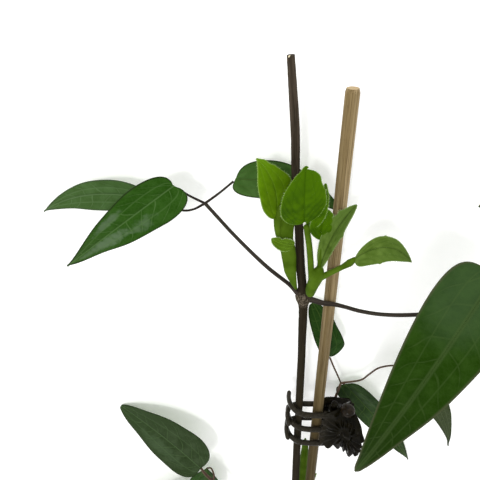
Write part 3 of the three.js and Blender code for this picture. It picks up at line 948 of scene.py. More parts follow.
@dataclass(frozen=True)
class GrainFinish:
    """Wood or bark with streaks that run along it.

    Attributes:
        dark: The ground's darker colour.
        light: Its lighter colour.
        streak: The colour of the streaks and pits.
        foot: The colour that it takes on further down.
        foot_from: Where that colour begins, in mm from the top.
        foot_to: Where it is full.
        stretch: How much longer the streaks are, as the part of the length that the noise sees.
        streaking: How strongly the fine streaks show.
        scars: Places along it with pale scars, in mm from the top.
        scar: The scars' colour.
    """

    name: str
    dark: Colour
    light: Colour
    streak: Colour
    foot: Colour
    foot_from: float = 0.0
    foot_to: float = 300.0
    gloss: float = 0.6
    stretch: float = 0.05
    scale: float = 1.3
    depth: float = 0.12
    specular: float = 0.2
    streaking: float = 0.6
    scars: tuple[float, ...] = ()
    scar: Colour = (112, 102, 88)

    def make(self) -> bpy.types.Material:
        """Builds the material: broad and fine streaks, a darker foot, and pale scars where it has any.

        Returns:
            The finished material.
        """
        shader = Shader(self.name, Specular_IOR_Level=self.specular)
        mark = shader.grown()
        drawn = shader.scaled(mark, (1.0, 1.0, self.stretch))
        gone = shader.parts(mark)[2]
        broad = shader.ramp(shader.noise(drawn, self.scale * 0.45, 2.0), 0.38, 0.64, 0.0, 1.0)
        fine = shader.ramp(shader.noise(drawn, self.scale * 2.6), 0.5, 0.7, 0.0, 1.0)
        pits = shader.ramp(shader.noise(shader.scaled(mark, (1, 1, 0.5)), 1.1), 0.62, 0.72, 0.0, 0.6)
        colour = shader.mix(broad, self.dark, self.light)
        colour = shader.mix(shader.times(fine, self.streaking), colour, self.streak)
        foot = shader.ramp(gone, self.foot_from, self.foot_to, 0.0, 0.8)
        colour = shader.mix(foot, colour, self.foot)
        colour = shader.mix(shader.times(pits, 0.5), colour, self.streak)
        for at in self.scars:
            away = shader.math("ABSOLUTE", shader.minus(gone, at))
            spots = shader.ramp(shader.noise(mark, 1.1), 0.46, 0.6, 0.1, 0.85)
            near = shader.times(shader.ramp(away, 1.5, 5.5, 1.0, 0.0), spots)
            colour = shader.mix(near, colour, self.scar)
        rough = shader.plus(shader.times(fine, 0.15), self.gloss)
        height = shader.plus(broad, shader.times(fine, -0.7))
        return shader.finish(colour, rough, height, self.depth)


@dataclass(frozen=True)
class PlainFinish:
    """A plain skin, such as plastic, wire, pith or paper, mottled on the object's own place.

    Attributes:
        glow: How strongly it gives off light of its own.
        grey_side: The colour that it has towards -x, if it differs there.
        grey_side_full: Where that colour is full, in mm.
        grey_side_faded: Where it has faded out, in mm.
    """

    name: str
    dark: Colour
    light: Colour
    gloss: float
    metallic: float = 0.0
    specular: float = 0.5
    scale: float = 0.5
    depth: float = 0.05
    fine: float = 5.0
    glow: float = 0.0
    grey_side: Optional[Colour] = None
    grey_side_full: float = 0.0
    grey_side_faded: float = 10.0

    def make(self) -> bpy.types.Material:
        """Builds the material: soft mottling, uneven gloss and a fine skin.

        Returns:
            The finished material.
        """
        shader = Shader(
            self.name, Specular_IOR_Level=self.specular, Metallic=self.metallic, Emission_Strength=self.glow
        )
        place = shader.object_mm()
        mottle = shader.ramp(shader.noise(place, self.scale), 0.3, 0.7, 0.0, 1.0)
        colour = shader.mix(mottle, self.dark, self.light)
        # Greys the skin towards -x, broken up by noise; on the clip these are its arms.
        if self.grey_side is not None:
            across = shader.parts(place)[0]
            grey_share = shader.ramp(across, self.grey_side_full, self.grey_side_faded, 0.85, 0.0)
            grey_breakup = shader.ramp(shader.noise(place, 0.9), 0.35, 0.65, 0.5, 1.0)
            colour = shader.mix(shader.times(grey_share, grey_breakup), colour, self.grey_side)
        worn = shader.ramp(shader.noise(place, self.scale * 3), 0.4, 0.75, 0.0, 0.1)
        rough = shader.plus(worn, self.gloss)
        return shader.finish(colour, rough, shader.noise(place, self.fine, 2.0), self.depth)


BARK = GrainFinish(
    "stem_bark", dark=(52, 45, 36), light=(72, 63, 53), streak=(26, 23, 15), foot=(32, 28, 17),
    foot_from=10, foot_to=90, gloss=0.7, specular=0.03, scars=NODE_RUNS,
)
STALK = GrainFinish(
    "stalk_skin", dark=(38, 33, 28), light=(58, 52, 46), streak=(27, 23, 19), foot=(54, 49, 42),
    foot_from=0, foot_to=60, gloss=0.6, specular=0.06,
)
THIN_STALK = replace(STALK, name="thin_stalk", dark=(66, 52, 42), light=(98, 80, 66), foot=(90, 73, 60))
CANE = GrainFinish(
    "split_cane", dark=(124, 106, 72), light=(154, 135, 100), streak=(74, 55, 30), foot=(36, 29, 5),
    foot_from=30, foot_to=240, gloss=0.6, stretch=0.012, scale=1.5, depth=0.1, specular=0.06,
    streaking=0.85,
)
CUT_CANE = PlainFinish("cane_cut_end", (160, 134, 92), (196, 172, 130), gloss=0.8, scale=3.0, fine=6.0)
PITH = PlainFinish("cream_pith", (196, 180, 140), (222, 212, 180), gloss=0.85, scale=2.0, depth=0.1)
CUT_WOOD = PlainFinish("cut_wood", (96, 78, 40), (128, 106, 62), gloss=0.8, scale=3.0, depth=0.1)
CLIP_PLASTIC = PlainFinish(
    "dark_plastic", (5, 4, 0), (19, 16, 7), gloss=0.13, specular=0.06, scale=0.35, depth=0.03, fine=1.4,
    # Paler grey-brown towards -x, over the arms.
    grey_side=(50, 46, 38), grey_side_full=2.0, grey_side_faded=14.0,
)
EAR_PLASTIC = PlainFinish(
    "ear_plastic", (16, 11, 5), (36, 28, 18), gloss=0.18, specular=0.12, scale=0.45, depth=0.01, fine=0.6,
)
SPRING_STEEL = PlainFinish(
    "bright_wire", (150, 150, 148), (190, 190, 188), gloss=0.28, metallic=1.0, fine=3.0,
)
UNDERSIDE = LeafFinish(
    "leaf_underside", dark=(86, 112, 62), light=(104, 128, 78), vein=(128, 146, 98), rim=(90, 104, 64),
    tip=(96, 120, 70), gloss=0.55, specular=0.1,
)
BRIGHT = LeafFinish(
    "young_leaf", dark=(72, 106, 0), light=(96, 132, 12), vein=(106, 142, 36), rim=(122, 150, 64),
    tip=(86, 124, 6), gloss=0.5, specular=0.03, vein_strength=0.45, cross_strength=0.4, rib_width=0.16,
    rim_width=0.4, pitch=4.5, length=34.0,
)
ROUND = replace(
    BRIGHT, dark=(42, 72, 0), light=(66, 100, 0), tip=(62, 96, 0), vein=(44, 76, 0), rim=(96, 128, 40),
)
FOLDED = replace(
    BRIGHT, dark=(66, 90, 26), light=(92, 116, 48), tip=(80, 104, 42), vein=(60, 84, 26),
    rim=(104, 126, 72),
)
SHEATH = replace(BRIGHT, dark=(56, 80, 4), light=(76, 104, 20), tip=(66, 92, 8), rim=(92, 120, 40))
YOUNG_STALK = PlainFinish(
    "young_stalk", (56, 80, 6), (76, 102, 22), gloss=0.5, specular=0.03, scale=0.12, depth=0.02, fine=2.0,
)
HAIR = PlainFinish("leaf_hair", (150, 176, 112), (178, 198, 146), gloss=0.7, specular=0.1, scale=1.0)


# ------------------------------------------------------------------ the old leaves


@dataclass(frozen=True)
class OldLeaf:
    """A mature leathery leaf: its blade and its own greens."""

    node: str
    blade: Blade
    finish: LeafFinish
    slot: str = "leaf"

    def build(self) -> Piece:
        """Models and dresses the leaf.

        Returns:
            The leaf, riding on the cutting in place of its node.
        """
        skin = self.finish.fitted(self.blade, self.node + "_skin")
        piece = self.blade.build(self.node + "_blade", (skin, UNDERSIDE))
        return Bench.hand_over(piece, self.slot, [self.node])


DEEP = LeafFinish("deep")
LEAVES = (
    OldLeaf(
        "leaf_left_front",
        Blade(
            base=(-70.3, -40.5, 28), tip=(-129.2, -92.9, 12), width=11.5, roll=8, twist=-4, fold=5,
            arch=2.2, bow=-1.3, rise=0.28, fall=1.22, lobe=0.04, lean=0.063,
        ),
        replace(
            DEEP, dark=(28, 62, 4), light=(44, 78, 22), tip=(46, 74, 26), vein=(80, 110, 60),
            # Painted sheen where the blade would reflect the sky, mostly on its right half.
            sheen_patches=(
                SheenPatch(47, Half.RIGHT, middle=0.36, long=18, wide=0.4, strength=0.85),
                SheenPatch(62, Half.RIGHT, middle=0.4, long=10, wide=0.34, strength=0.5),
                SheenPatch(26, Half.RIGHT, middle=0.5, long=10, wide=0.34, strength=0.55),
                SheenPatch(38, Half.LEFT, middle=0.62, long=14, wide=0.26, strength=0.7),
            ),
        ),
    ),
    OldLeaf(
        "leaf_left_back",
        Blade(
            base=(-80.7, -52.3, 18), tip=(-139.8, -67.9, 0), width=7.6, roll=-11, fold=8, arch=2.1,
            bow=-6.4, rise=0.55, fall=1.2, lobe=0.05, lean=0.04,
        ),
        replace(
            DEEP, dark=(52, 78, 34), light=(68, 96, 52), tip=(58, 84, 40), vein=(92, 118, 76),
            rim=(60, 74, 52),
        ),
        slot="leaf_pale",
    ),
    OldLeaf(
        "leaf_left_third",
        Blade(
            base=(-44, -41, 20), tip=(10, -70.3, 0), width=9.2, roll=11, twist=-4, fold=4, arch=2.2,
            bow=5.9, rise=0.32, fall=1.3, lobe=0.02, lean=0.09,
        ),
        replace(DEEP, dark=(56, 88, 36), light=(74, 106, 52), tip=(30, 64, 12)),
    ),
    OldLeaf(
        "leaf_right_big",
        Blade(
            base=(46.4, -52.2, 76), tip=(12.5, -180.0, 68), width=15.0, roll=-30, twist=9, fold=8, arch=4,
            bow=1, rise=0.2, fall=1.04, lobe=0.018, lean=-0.055, cut=0.04, pitch=14.0, relief=0.4,
        ),
        replace(
            DEEP, dark=(23, 49, 0), light=(36, 62, 12), tip=(20, 39, 0), vein=(66, 86, 44),
            rim=(66, 70, 48), rib_width=0.55, rim_width=1.3, vein_strength=0.5, cross_strength=0.6,
            # Painted sheen on the left half near the base, where the blade would reflect the sky.
            sheen_patches=(SheenPatch(8, Half.LEFT, middle=0.2, long=34, wide=1.4, strength=0.22, ragged=0.5),),
        ),
    ),
    OldLeaf(
        "leaf_right_end",
        Blade(
            base=(82, -82, 66), tip=(134, -124, 34), width=12, roll=8, fold=7, arch=5, bow=2, rise=0.36,
            fall=1.15,
        ),
        replace(DEEP, dark=(28, 54, 6), light=(42, 68, 18)),
    ),
    OldLeaf(
        "leaf_right_up",
        Blade(
            base=(96.5, -65.6, 60), tip=(46.2, -37, 52), width=9.5, roll=-6, fold=7, arch=4, bow=-2,
            rise=0.36, fall=1.15,
        ),
        DEEP,
    ),
    OldLeaf(
        "leaf_low_left_up",
        Blade(
            base=(-68.0, -244.8, 20), tip=(-119.4, -208.4, 0), width=17.4, roll=1, twist=18, fold=5,
            arch=3.2, bow=-5.2, rise=0.29, fall=0.66, lobe=0.02, lean=-0.1, wave=0.25, pitch=9.0,
        ),
        replace(
            DEEP, dark=(36, 50, 25), light=(52, 66, 42), tip=(44, 60, 33), vein=(74, 96, 60),
            cross_strength=0.7,
            # Painted sheen on the right half, where the blade would reflect the sky.
            sheen_patches=(SheenPatch(30, Half.RIGHT, middle=0.5, long=22, wide=0.4, strength=0.2),),
        ),
        slot="leaf_pale",
    ),
    OldLeaf(
        "leaf_low_left_end",
        Blade(
            base=(-72, -276, 18), tip=(-126, -312, 0), width=12, roll=4, fold=7, arch=3, bow=1, rise=0.36,
            fall=1.1,
        ),
        DEEP,
    ),
    OldLeaf(
        "leaf_low_left_down",
        Blade(
            base=(-64.4, -252.8, 15), tip=(-72, -319, 0), width=12.5, roll=-5, fold=6, arch=2, bow=1,
            rise=0.85, fall=1.2, lobe=0.0,
        ),
        replace(DEEP, dark=(34, 60, 22), light=(52, 78, 38)),
    ),
    OldLeaf(
        "leaf_low_right_up",
        Blade(
            base=(8.3, -155, 11), tip=(-4.1, -116.7, 10), width=7.5, roll=5, fold=7, arch=4, bow=-3.2,
            rise=0.5, fall=0.5, lobe=0.0, wave=0.3,
            teeth=((0.27, Half.LEFT, 1.3, 0.13), (0.62, Half.LEFT, -0.9, 0.12)),
        ),
        replace(DEEP, dark=(26, 52, 16), light=(42, 70, 30), tip=(30, 56, 16)),
    ),
    OldLeaf(
        "leaf_low_right_middle",
        Blade(
            base=(20.2, -179.6, 9), tip=(75.5, -265.2, 0), width=10, roll=-12, twist=2, fold=6, arch=2.9,
            bow=3.6, rise=0.24, fall=1.05, lobe=0.01, lean=0.03,
        ),
        replace(
            DEEP, dark=(27, 48, 16), light=(46, 66, 36), tip=(30, 48, 12),
            # Painted sheen near the base of the right half, where the blade would reflect the sky.
            sheen_patches=(SheenPatch(16, Half.RIGHT, middle=0.4, long=10, wide=0.3, strength=0.25),),
        ),
    ),
    OldLeaf(
        "leaf_low_right_end",
        Blade(
            base=(50.6, -159.4, 14), tip=(100.2, -250.3, 0), width=8, fold=6, arch=2.9, bow=6.3,
            rise=0.45, fall=1.4, lobe=0.02,
        ),
        replace(DEEP, dark=(42, 52, 26), light=(58, 70, 42), tip=(46, 56, 30), vein=(76, 88, 58)),
        slot="leaf_pale",
    ),
)


# ------------------------------------------------------------------ the young shoots


@dataclass
class Hairs:
    """The short pale hairs of a shoot's young blades, thickest along their margins."""

    seed: int
    reach: float = 0.75
    radius: float = 0.035
    rim_hairs: int = 260
    skin_hairs: int = 160
    verts: list[Vector] = field(default_factory=list)
    faces: list[tuple[int, ...]] = field(default_factory=list)

    def spike(self, root: Vector, lean: Vector, length: float) -> None:
        """Adds one three-sided hair.

        Args:
            root: Where it grows, in mm.
            lean: Its direction.
            length: Its length in mm.
        """
        side = lean.orthogonal().normalized() * self.radius
        other = lean.cross(side).normalized() * self.radius
        first = len(self.verts)
        ring = [root + side, root - side * 0.5 + other * 0.87, root - side * 0.5 - other * 0.87]
        self.verts += [row_place(p) for p in (*ring, root + lean * length)]
        self.faces += [
            (first, first + 2, first + 1),
            (first, first + 1, first + 3),
            (first + 1, first + 2, first + 3),
            (first + 2, first, first + 3),
        ]

    def grow(self, blade: Blade) -> None:
        """Grows hairs on a blade's margin and upper skin.

        Args:
            blade: The young blade.
        """
        draw = random.Random(self.seed)
        for i in range(self.rim_hairs + self.skin_hairs):
            on_rim = i < self.rim_hairs
            s = draw.uniform(0.02, 0.98)
            t = draw.choice((-1.0, 1.0)) * (1.0 if on_rim else draw.uniform(0.05, 0.97))
            point, up, across, _ = blade.point(s, t, bare=True)
            if on_rim:
                outward = across * math.copysign(1.0, t) + up * draw.uniform(-0.25, 0.5)
            else:
                outward = up + across * draw.uniform(-0.5, 0.5)
            chord = (Vector(blade.tip) - Vector(blade.base)).normalized()
            lean = (outward + chord * draw.uniform(0.1, 0.7)).normalized()
            self.spike(point, lean, self.reach * draw.uniform(0.5, 1.1) * (1.0 if on_rim else 0.6))

    def build(self, name: str) -> Piece:
        """Makes all the hairs one mesh.

        Args:
            name: The piece's name.

        Returns:
            The piece.
        """
        mesh = bpy.data.meshes.new(name)
        mesh.from_pydata([tuple(v) for v in self.verts], [], self.faces)
        piece = bpy.data.objects.new(name, mesh)
        bpy.context.collection.objects.link(piece)
        Bench.dress(piece, HAIR)
        return piece


@dataclass(frozen=True)
class YoungLeaf:
    """A soft young leaf: its blade and its own green."""

    blade: Blade
    finish: LeafFinish


def young(finish: LeafFinish, **sizes: object) -> YoungLeaf:
    """Makes a young leaf: thinner, with closer and shallower veins."""
    settings = {"lobe": 0.0, "wave": 0.2, "pitch": 4.5, "relief": 0.16, "thick": 0.4, "vein_at": 0.5}
    return YoungLeaf(Blade(**settings | sizes), finish)


def soft_stalk(*run: tuple[float, float, float, float]) -> Tube:
    """Makes a round stalk of a young shoot."""
    return Tube(run, sides=18, steps=14 * len(run), round_ends=True)


@dataclass(frozen=True)
class YoungShoot:
    """A bright shoot: its soft stalks and its young blades."""

    node: str
    stalks: tuple[Tube, ...]
    leaves: tuple[YoungLeaf, ...]
    seed: int
    voxel: float = 0.16

    def build(self) -> list[Piece]:
        """Models and dresses the stalks, blades and hairs.

        Returns:
            The pieces, riding on the cutting in place of the shoot's node.
        """
        soft = [tube.build(f"{self.node}_stalk_{i}") for i, tube in enumerate(self.stalks)]
        whole = Bench.join(self.node + "_stalks", soft)
        Bench.modify(whole, "REMESH", mode="VOXEL", voxel_size=self.voxel * MM)
        Bench.modify(whole, "SMOOTH", factor=0.5, iterations=8)
        Bench.dress(whole, YOUNG_STALK)
        Bench.shade(whole, 60)
        made = [Bench.hand_over(whole, "young_leaf", [self.node])]
        hairs = Hairs(self.seed)
        for i, leaf in enumerate(self.leaves):
            name = f"{self.node}_leaf_{i + 1}"
            skin = leaf.finish.fitted(leaf.blade, name + "_skin")
            piece = leaf.blade.build(name, (skin,), along=72, across=28)
            made.append(Bench.hand_over(piece, "young_leaf", [self.node]))
            hairs.grow(leaf.blade)
        down = hairs.build(self.node + "_hairs")
        made.append(Bench.hand_over(down, "young_leaf", [self.node]))
        return made


SHOOTS = (
    YoungShoot(
        "left_young_shoot",
        stalks=(
            Tube(
                (
                    (-15.9, -93.6, 29.4, 0.6), (-17.6, -88.5, 30, 1.6), (-19.4, -82, 30.4, 2.8),
                    (-20.4, -74.5, 30.6, 3.3), (-21.4, -69, 30.8, 3.4), (-22.2, -65, 30.8, 3.2),
                    (-22.2, -60.5, 30.6, 3.1), (-21.6, -55, 30.4, 3.0), (-21.4, -50, 30.4, 1.2),
                ),
                sides=24, steps=48, flat=0.55, across=(1, 0, 0), round_ends=True,
            ),
            Tube(
                (
                    (-22.0, -74, 31, 0.9), (-23.6, -67.5, 31.4, 1.3), (-25.8, -61.5, 31.2, 1.4),
                    (-26.2, -56, 30.4, 1.8), (-25.7, -52, 29.8, 2.0), (-25.4, -48, 29.8, 1.2),
                ),
                sides=20, steps=40, flat=0.9, across=(1, 0, 0), round_ends=True,
            ),
        ),
        leaves=(
            young(
                BRIGHT, base=(-26.9, -54.7, 30), tip=(-36.1, -24.8, 36), width=7.7, roll=-36, twist=15,
                fold=2, arch=1.2, bow=-3.3, rise=0.8, fall=1.15, lean=0.14,
                teeth=(
                    (0.4, Half.LEFT, 1.9, 0.2), (0.1, Half.LEFT, 1.7, 0.09), (0.93, Half.LEFT, 0.8, 0.05),
                    (0.78, Half.LEFT, 0.35, 0.03),
                ),
            ),
            young(
                SHEATH, base=(-18.9, -67.0, 32.5), tip=(-28.9, -63.2, 33.2), width=3.3, fold=8, arch=0.3,
                bow=0.6, rise=0.35, fall=0.6, wave=0.0, teeth=((0.6, Half.LEFT, -0.9, 0.07),),
            ),
        ),
        seed=11,
    ),
    YoungShoot(
        "right_young_shoot",
        stalks=(
            soft_stalk(
                (-9.7, -95.4, 32.1, 1.7), (-9.6, -91.5, 32.4, 2.5), (-8.9, -87.5, 33, 2.8),
                (-7.9, -83.5, 33.6, 3.1), (-7.1, -79.5, 34.2, 2.5), (-6.6, -76.5, 34.6, 1.2),
            ),
            soft_stalk(
                (-9.6, -88, 33, 1.4), (-10.6, -79, 34, 1.45), (-12.6, -65, 35, 1.35),
                (-14.8, -54.4, 36, 1.3),
            ),
            soft_stalk(
                (-7.6, -85, 33.6, 1.6), (-4.2, -81.9, 34.2, 1.4), (-0.1, -78.6, 35, 1.25),
                (2.7, -75.4, 36.8, 1.2), (5.0, -71.7, 39, 1.7), (6.8, -68.0, 41, 0.9),
            ),
            soft_stalk((-7.0, -80, 33.6, 1.2), (-6.8, -72, 33.2, 1.0), (-6.8, -62.6, 33, 0.8)),
        ),
        leaves=(
            young(
                ROUND, base=(-15.4, -53.2, 36), tip=(-17.2, -26.2, 40), width=9.9, roll=-16, twist=6,
                fold=8, arch=2, bow=1.2, rise=0.56, fall=0.8, lobe=0.04, lean=0.09,
                teeth=(
                    (0.86, Half.LEFT, 1.15, 0.075), (0.957, Half.LEFT, -1.7, 0.018),
                    (0.95, Half.RIGHT, -0.7, 0.03), (0.6, Half.LEFT, 0.35, 0.02),
                ),
            ),
            young(
                ROUND, base=(-12.8, -57, 34.6), tip=(-7.9, -36, 34.8), width=3.8, roll=4, fold=6, arch=1,
                bow=-0.4, rise=0.5, fall=0.8,
            ),
            young(
                FOLDED, base=(-6.7, -78.8, 34), tip=(4.7, -43.3, 39), width=4.5, roll=43, fold=25,
                arch=0.5, bow=2.2, rise=0.75, fall=0.72,
                teeth=(
                    (0.7, Half.RIGHT, 0.9, 0.035), (0.84, Half.RIGHT, 0.7, 0.03),
                    (0.62, Half.LEFT, 0.8, 0.03),
                ),
            ),
            young(
                ROUND, base=(-6.8, -63.6, 33), tip=(-6.2, -48.3, 34), width=5.4, roll=-2, fold=8,
                arch=1.2, bow=1.4, rise=0.7, fall=0.65, lobe=0.08,
            ),
            young(
                FOLDED, base=(6.5, -68.0, 41), tip=(29.8, -68.3, 44), width=7, roll=-1, fold=15, arch=2.2,
                bow=8, rise=0.41, fall=0.9,
                teeth=((0.42, Half.RIGHT, 0.5, 0.02), (0.42, Half.LEFT, 0.5, 0.02)),
            ),
        ),
        seed=23,
    ),
    YoungShoot(
        "lower_young_shoot",
        stalks=(
            Tube(
                (
                    (-4.6, -277.4, 24.2, 1.0), (-3.0, -266, 22.4, 1.9), (-2.1, -254, 22, 2.5),
                    (-2.0, -232, 21, 2.7), (-2.2, -219, 21, 1.9), (-2.6, -213, 21, 0.4),
                ),
                sides=20, steps=60, flat=0.8, across=(1, 0, 0), round_ends=True,
            ),
        ),
        leaves=(
            young(
                SHEATH, base=(-2.6, -262, 21), tip=(7.6, -251, 19.6), width=2.8, fold=8, arch=0.8,
                rise=0.45, fall=0.9,
            ),
        ),
        seed=37,
    ),
)


# ------------------------------------------------------------------ the old wood


def ridged(depth: float, along: float, angle: float) -> float:
    """Gives the five low ridges of a leaf stalk, the same all along it, in mm."""
    return depth * math.cos(5 * angle)


@dataclass(frozen=True)
class WoodyStem:
    """The dark stem with its two nodes, its cut top and all the leaf stalks."""

    run: tuple[tuple[float, float, float], ...] = (
        (-6.0, -302, 2.3), (-6.5, -280, 2.3), (-7.4, -245, 2.25), (-8.5, -210, 2.15),
        (-9.5, -171, 2.0), (-10.9, -126.5, 2.05), (-12.2, -99, 2.15), (-14.7, -80, 2.05),
        (-16.5, -61, 1.9), (-19.2, -38, 1.8), (-20.8, -16, 1.8), (-24.0, 11.9, 1.45),
    )
    nodes: tuple[float, float] = (-99.0, -280.0)
    swell: float = 1.5
    swell_reach: float = 3.6
    furrow_depth: float = 0.16
    wart_depth: float = 0.07
    knob_depth: float = 0.5
    knob_reach: float = 4.0
    ridge_depth: float = 0.035
    short_ridge_depth: float = 0.02
    rings: int = 230
    sides: int = 36

    def relief(self, along: float, angle: float) -> float:
        """Gives the bark's furrows and low warts, and the knobs of its nodes.

        Args:
            along: Distance along the stem from its cut top, in mm.
            angle: Angle round it.

        Returns:
            The height in mm.
        """
        near = sum(math.exp(-(((along - node) / self.knob_reach) ** 2)) for node in NODE_RUNS)
        furrow = self.furrow_depth * around(angle, along, 3.2, 0.05)
        wart = self.wart_depth * around(angle, along, 2.0, 0.7)
        return furrow + wart + self.knob_depth * near * around(angle, along, 2.6, 0.9)

    def torn(self, along: float, angle: float) -> float:
        """Gives the unevenness of the torn wood in the cut top, in mm."""
        return 0.14 * noise.noise(Vector((3 * angle, along, 1.0)))

    def rod(self) -> Tube:
        """Draws the stem from its cut top down to its foot, with its nodes swollen.

        Returns:
            The stem's rod.
        """
        spots = [(x, y, radius, 0.0) for x, y, radius in self.run]
        stops = []
        for i in range(self.rings + 1):
            spot = curve_point(spots, 1 - i / self.rings)
            swell = sum(
                self.swell * math.exp(-(((spot.y - node) / self.swell_reach) ** 2)) for node in self.nodes
            )
            stops.append((spot.x, spot.y, AXIS_HEIGHT, spot.z + swell))
        return Tube(tuple(stops), sides=self.sides, steps=self.rings, relief=self.relief)

    def cut_top(self) -> list[Piece]:
        """Models the notched cut top: a rim of wood with cream pith in its groove.

        Returns:
            The wood and the pith.
        """
        x, y, radius = self.run[-1]
        below, above = radius * 0.9, radius * 0.86
        wood = Tube(
            ((x, y - 2.0, AXIS_HEIGHT, below), (x - 0.1, y - 0.1, AXIS_HEIGHT, above)),
            sides=20, steps=6, relief=self.torn,
        ).build("stem_cut_wood")
        Bench.dress(wood, CUT_WOOD)
        pith = Tube(
            (
                (x - 0.5, y - 1.6, AXIS_HEIGHT + 0.45, 0.5),
                (x - 0.55, y - 0.2, AXIS_HEIGHT + 0.85, 0.52),
                (x - 0.6, y - 0.1, AXIS_HEIGHT + 0.8, 0.4),
            ),
            sides=14, steps=8,
        ).build("stem_pith")
        Bench.dress(pith, PITH)
        return [wood, pith]

    def build(self) -> list[Piece]:
        """Models and dresses the stem, its cut top and its stalks.

        Returns:
            The pieces, riding on the cutting in place of the stem's node.
        """
        bark = self.rod().build("stem_bark")
        Bench.dress(bark, BARK)
        stalks = []
        for name, run in STALKS.items():
            ridges = partial(ridged, self.ridge_depth if len(run) > 4 else self.short_ridge_depth)
            tube = Tube(run, sides=12, steps=10 * len(run), relief=ridges)
            stalk = tube.build("stalk_" + name)
            Bench.dress(stalk, THIN_STALK if name.startswith("low_") else STALK)
            stalks.append(stalk)
        whole = Bench.join("leaf_stalks", stalks)
        made = [bark, whole, *self.cut_top()]
        for piece in made:
            Bench.shade(piece, 50)
            Bench.hand_over(piece, "bark", ["woody_stem"])
        return made


LEFT_FORK = (-57.7, -51.2, 23)
RIGHT_FORK = (62, -68, 68)
LOW_LEFT_FORK = (-60, -259, 20)
LOW_RIGHT_FORK = (16.7, -175.1, 12)
STALKS: dict[str, Run] = {
    "left": (
        (-12.2, -99, 28, 2.0), (-15.0, -96.2, 27.8, 1.55), (-18.8, -92.2, 27.5, 1.0),
        (-29.8, -82.9, 26, 0.95), (-43.8, -68.3, 24, 0.85), (*LEFT_FORK, 0.8),
    ),
    "left_front": (
        (*LEFT_FORK, 0.6), (-64.6, -46.2, 25, 0.5), (-67.4, -43.9, 25.4, 0.5), (-69.3, -42.2, 26.4, 0.5),
    ),
    "left_back": (
        (*LEFT_FORK, 0.6), (-63.4, -55.8, 20, 0.5), (-67.7, -56.9, 19, 0.5), (-74.8, -55.1, 18, 0.5),
        (-79.8, -52.6, 18, 0.5),
    ),
    "left_third": ((*LEFT_FORK, 0.6), (-51.1, -46.4, 22, 0.5), (-45.2, -41.9, 20.3, 0.5)),
    "right": (
        (-12.2, -99.2, 28, 2.0), (-7.5, -99.8, 29.3, 1.4), (-2.2, -99.8, 31.8, 1.2),
        (1.8, -99.4, 33.0, 1.1), (6.0, -99.1, 35.0, 0.95), (12.4, -96.9, 41, 0.95), (20.6, -93, 48, 0.9),
        (31.7, -86.3, 56, 0.9), (43.2, -79, 62, 0.9), (*RIGHT_FORK, 0.9),
    ),
    "right_big": (
        (*RIGHT_FORK, 0.7), (59, -56, 73, 0.6), (51, -47.0, 76.3, 0.6), (46.8, -51.2, 76.1, 0.6),
    ),
    "right_end": ((*RIGHT_FORK, 0.7), (72, -74, 67.5, 0.6), (81.3, -81.5, 66.1, 0.5)),
    "right_up": ((*RIGHT_FORK, 0.7), (78, -70, 66, 0.6), (96, -70, 62, 0.5), (97.0, -66.7, 60.3, 0.5)),
    "low_left": (
        (-6.5, -280, 28, 1.5), (-25, -285, 25, 1.2), (-46, -277, 21, 1.15), (*LOW_LEFT_FORK, 1.1),
    ),
    "low_left_up": ((*LOW_LEFT_FORK, 1.1), (-65, -250.5, 20.2, 0.95), (-67.6, -244.8, 20, 0.8)),
    "low_left_end": ((*LOW_LEFT_FORK, 0.8), (-66, -268, 19, 0.6), (-71.3, -275.2, 18.1, 0.5)),
    "low_left_down": (
        (*LOW_LEFT_FORK, 0.8), (-59.6, -252.5, 19, 0.6), (-61.4, -249.2, 17, 0.5),
        (-64.0, -251.7, 15.3, 0.5),
    ),
    "low_right": (
        (-6.5, -280, 28, 1.5), (-8.6, -274, 20.5, 1.0), (-6.0, -262, 16.0, 0.9), (-0.5, -248, 14.2, 0.85),
        (4.5, -232, 13.6, 0.8), (9.7, -207.4, 13.5, 0.75), (14.3, -187.6, 12.6, 0.75),
        (*LOW_RIGHT_FORK, 0.7),
    ),
    "low_right_up": (
        (*LOW_RIGHT_FORK, 0.5), (14, -168.5, 12, 0.5), (11.2, -162, 12, 0.5), (8.5, -155.6, 11, 0.5),
    ),
    "low_right_middle": ((*LOW_RIGHT_FORK, 0.6), (18.4, -177.4, 10.2, 0.5), (19.6, -178.9, 9.3, 0.5)),
    "low_right_end": (
        (*LOW_RIGHT_FORK, 0.6), (27.5, -170.4, 14, 0.5), (31.1, -164.9, 15, 0.5), (35.2, -159, 16, 0.5),
        (39.3, -157.4, 16, 0.5), (44.4, -157.6, 15.2, 0.5), (49.9, -158.9, 14.2, 0.5),
    ),
}


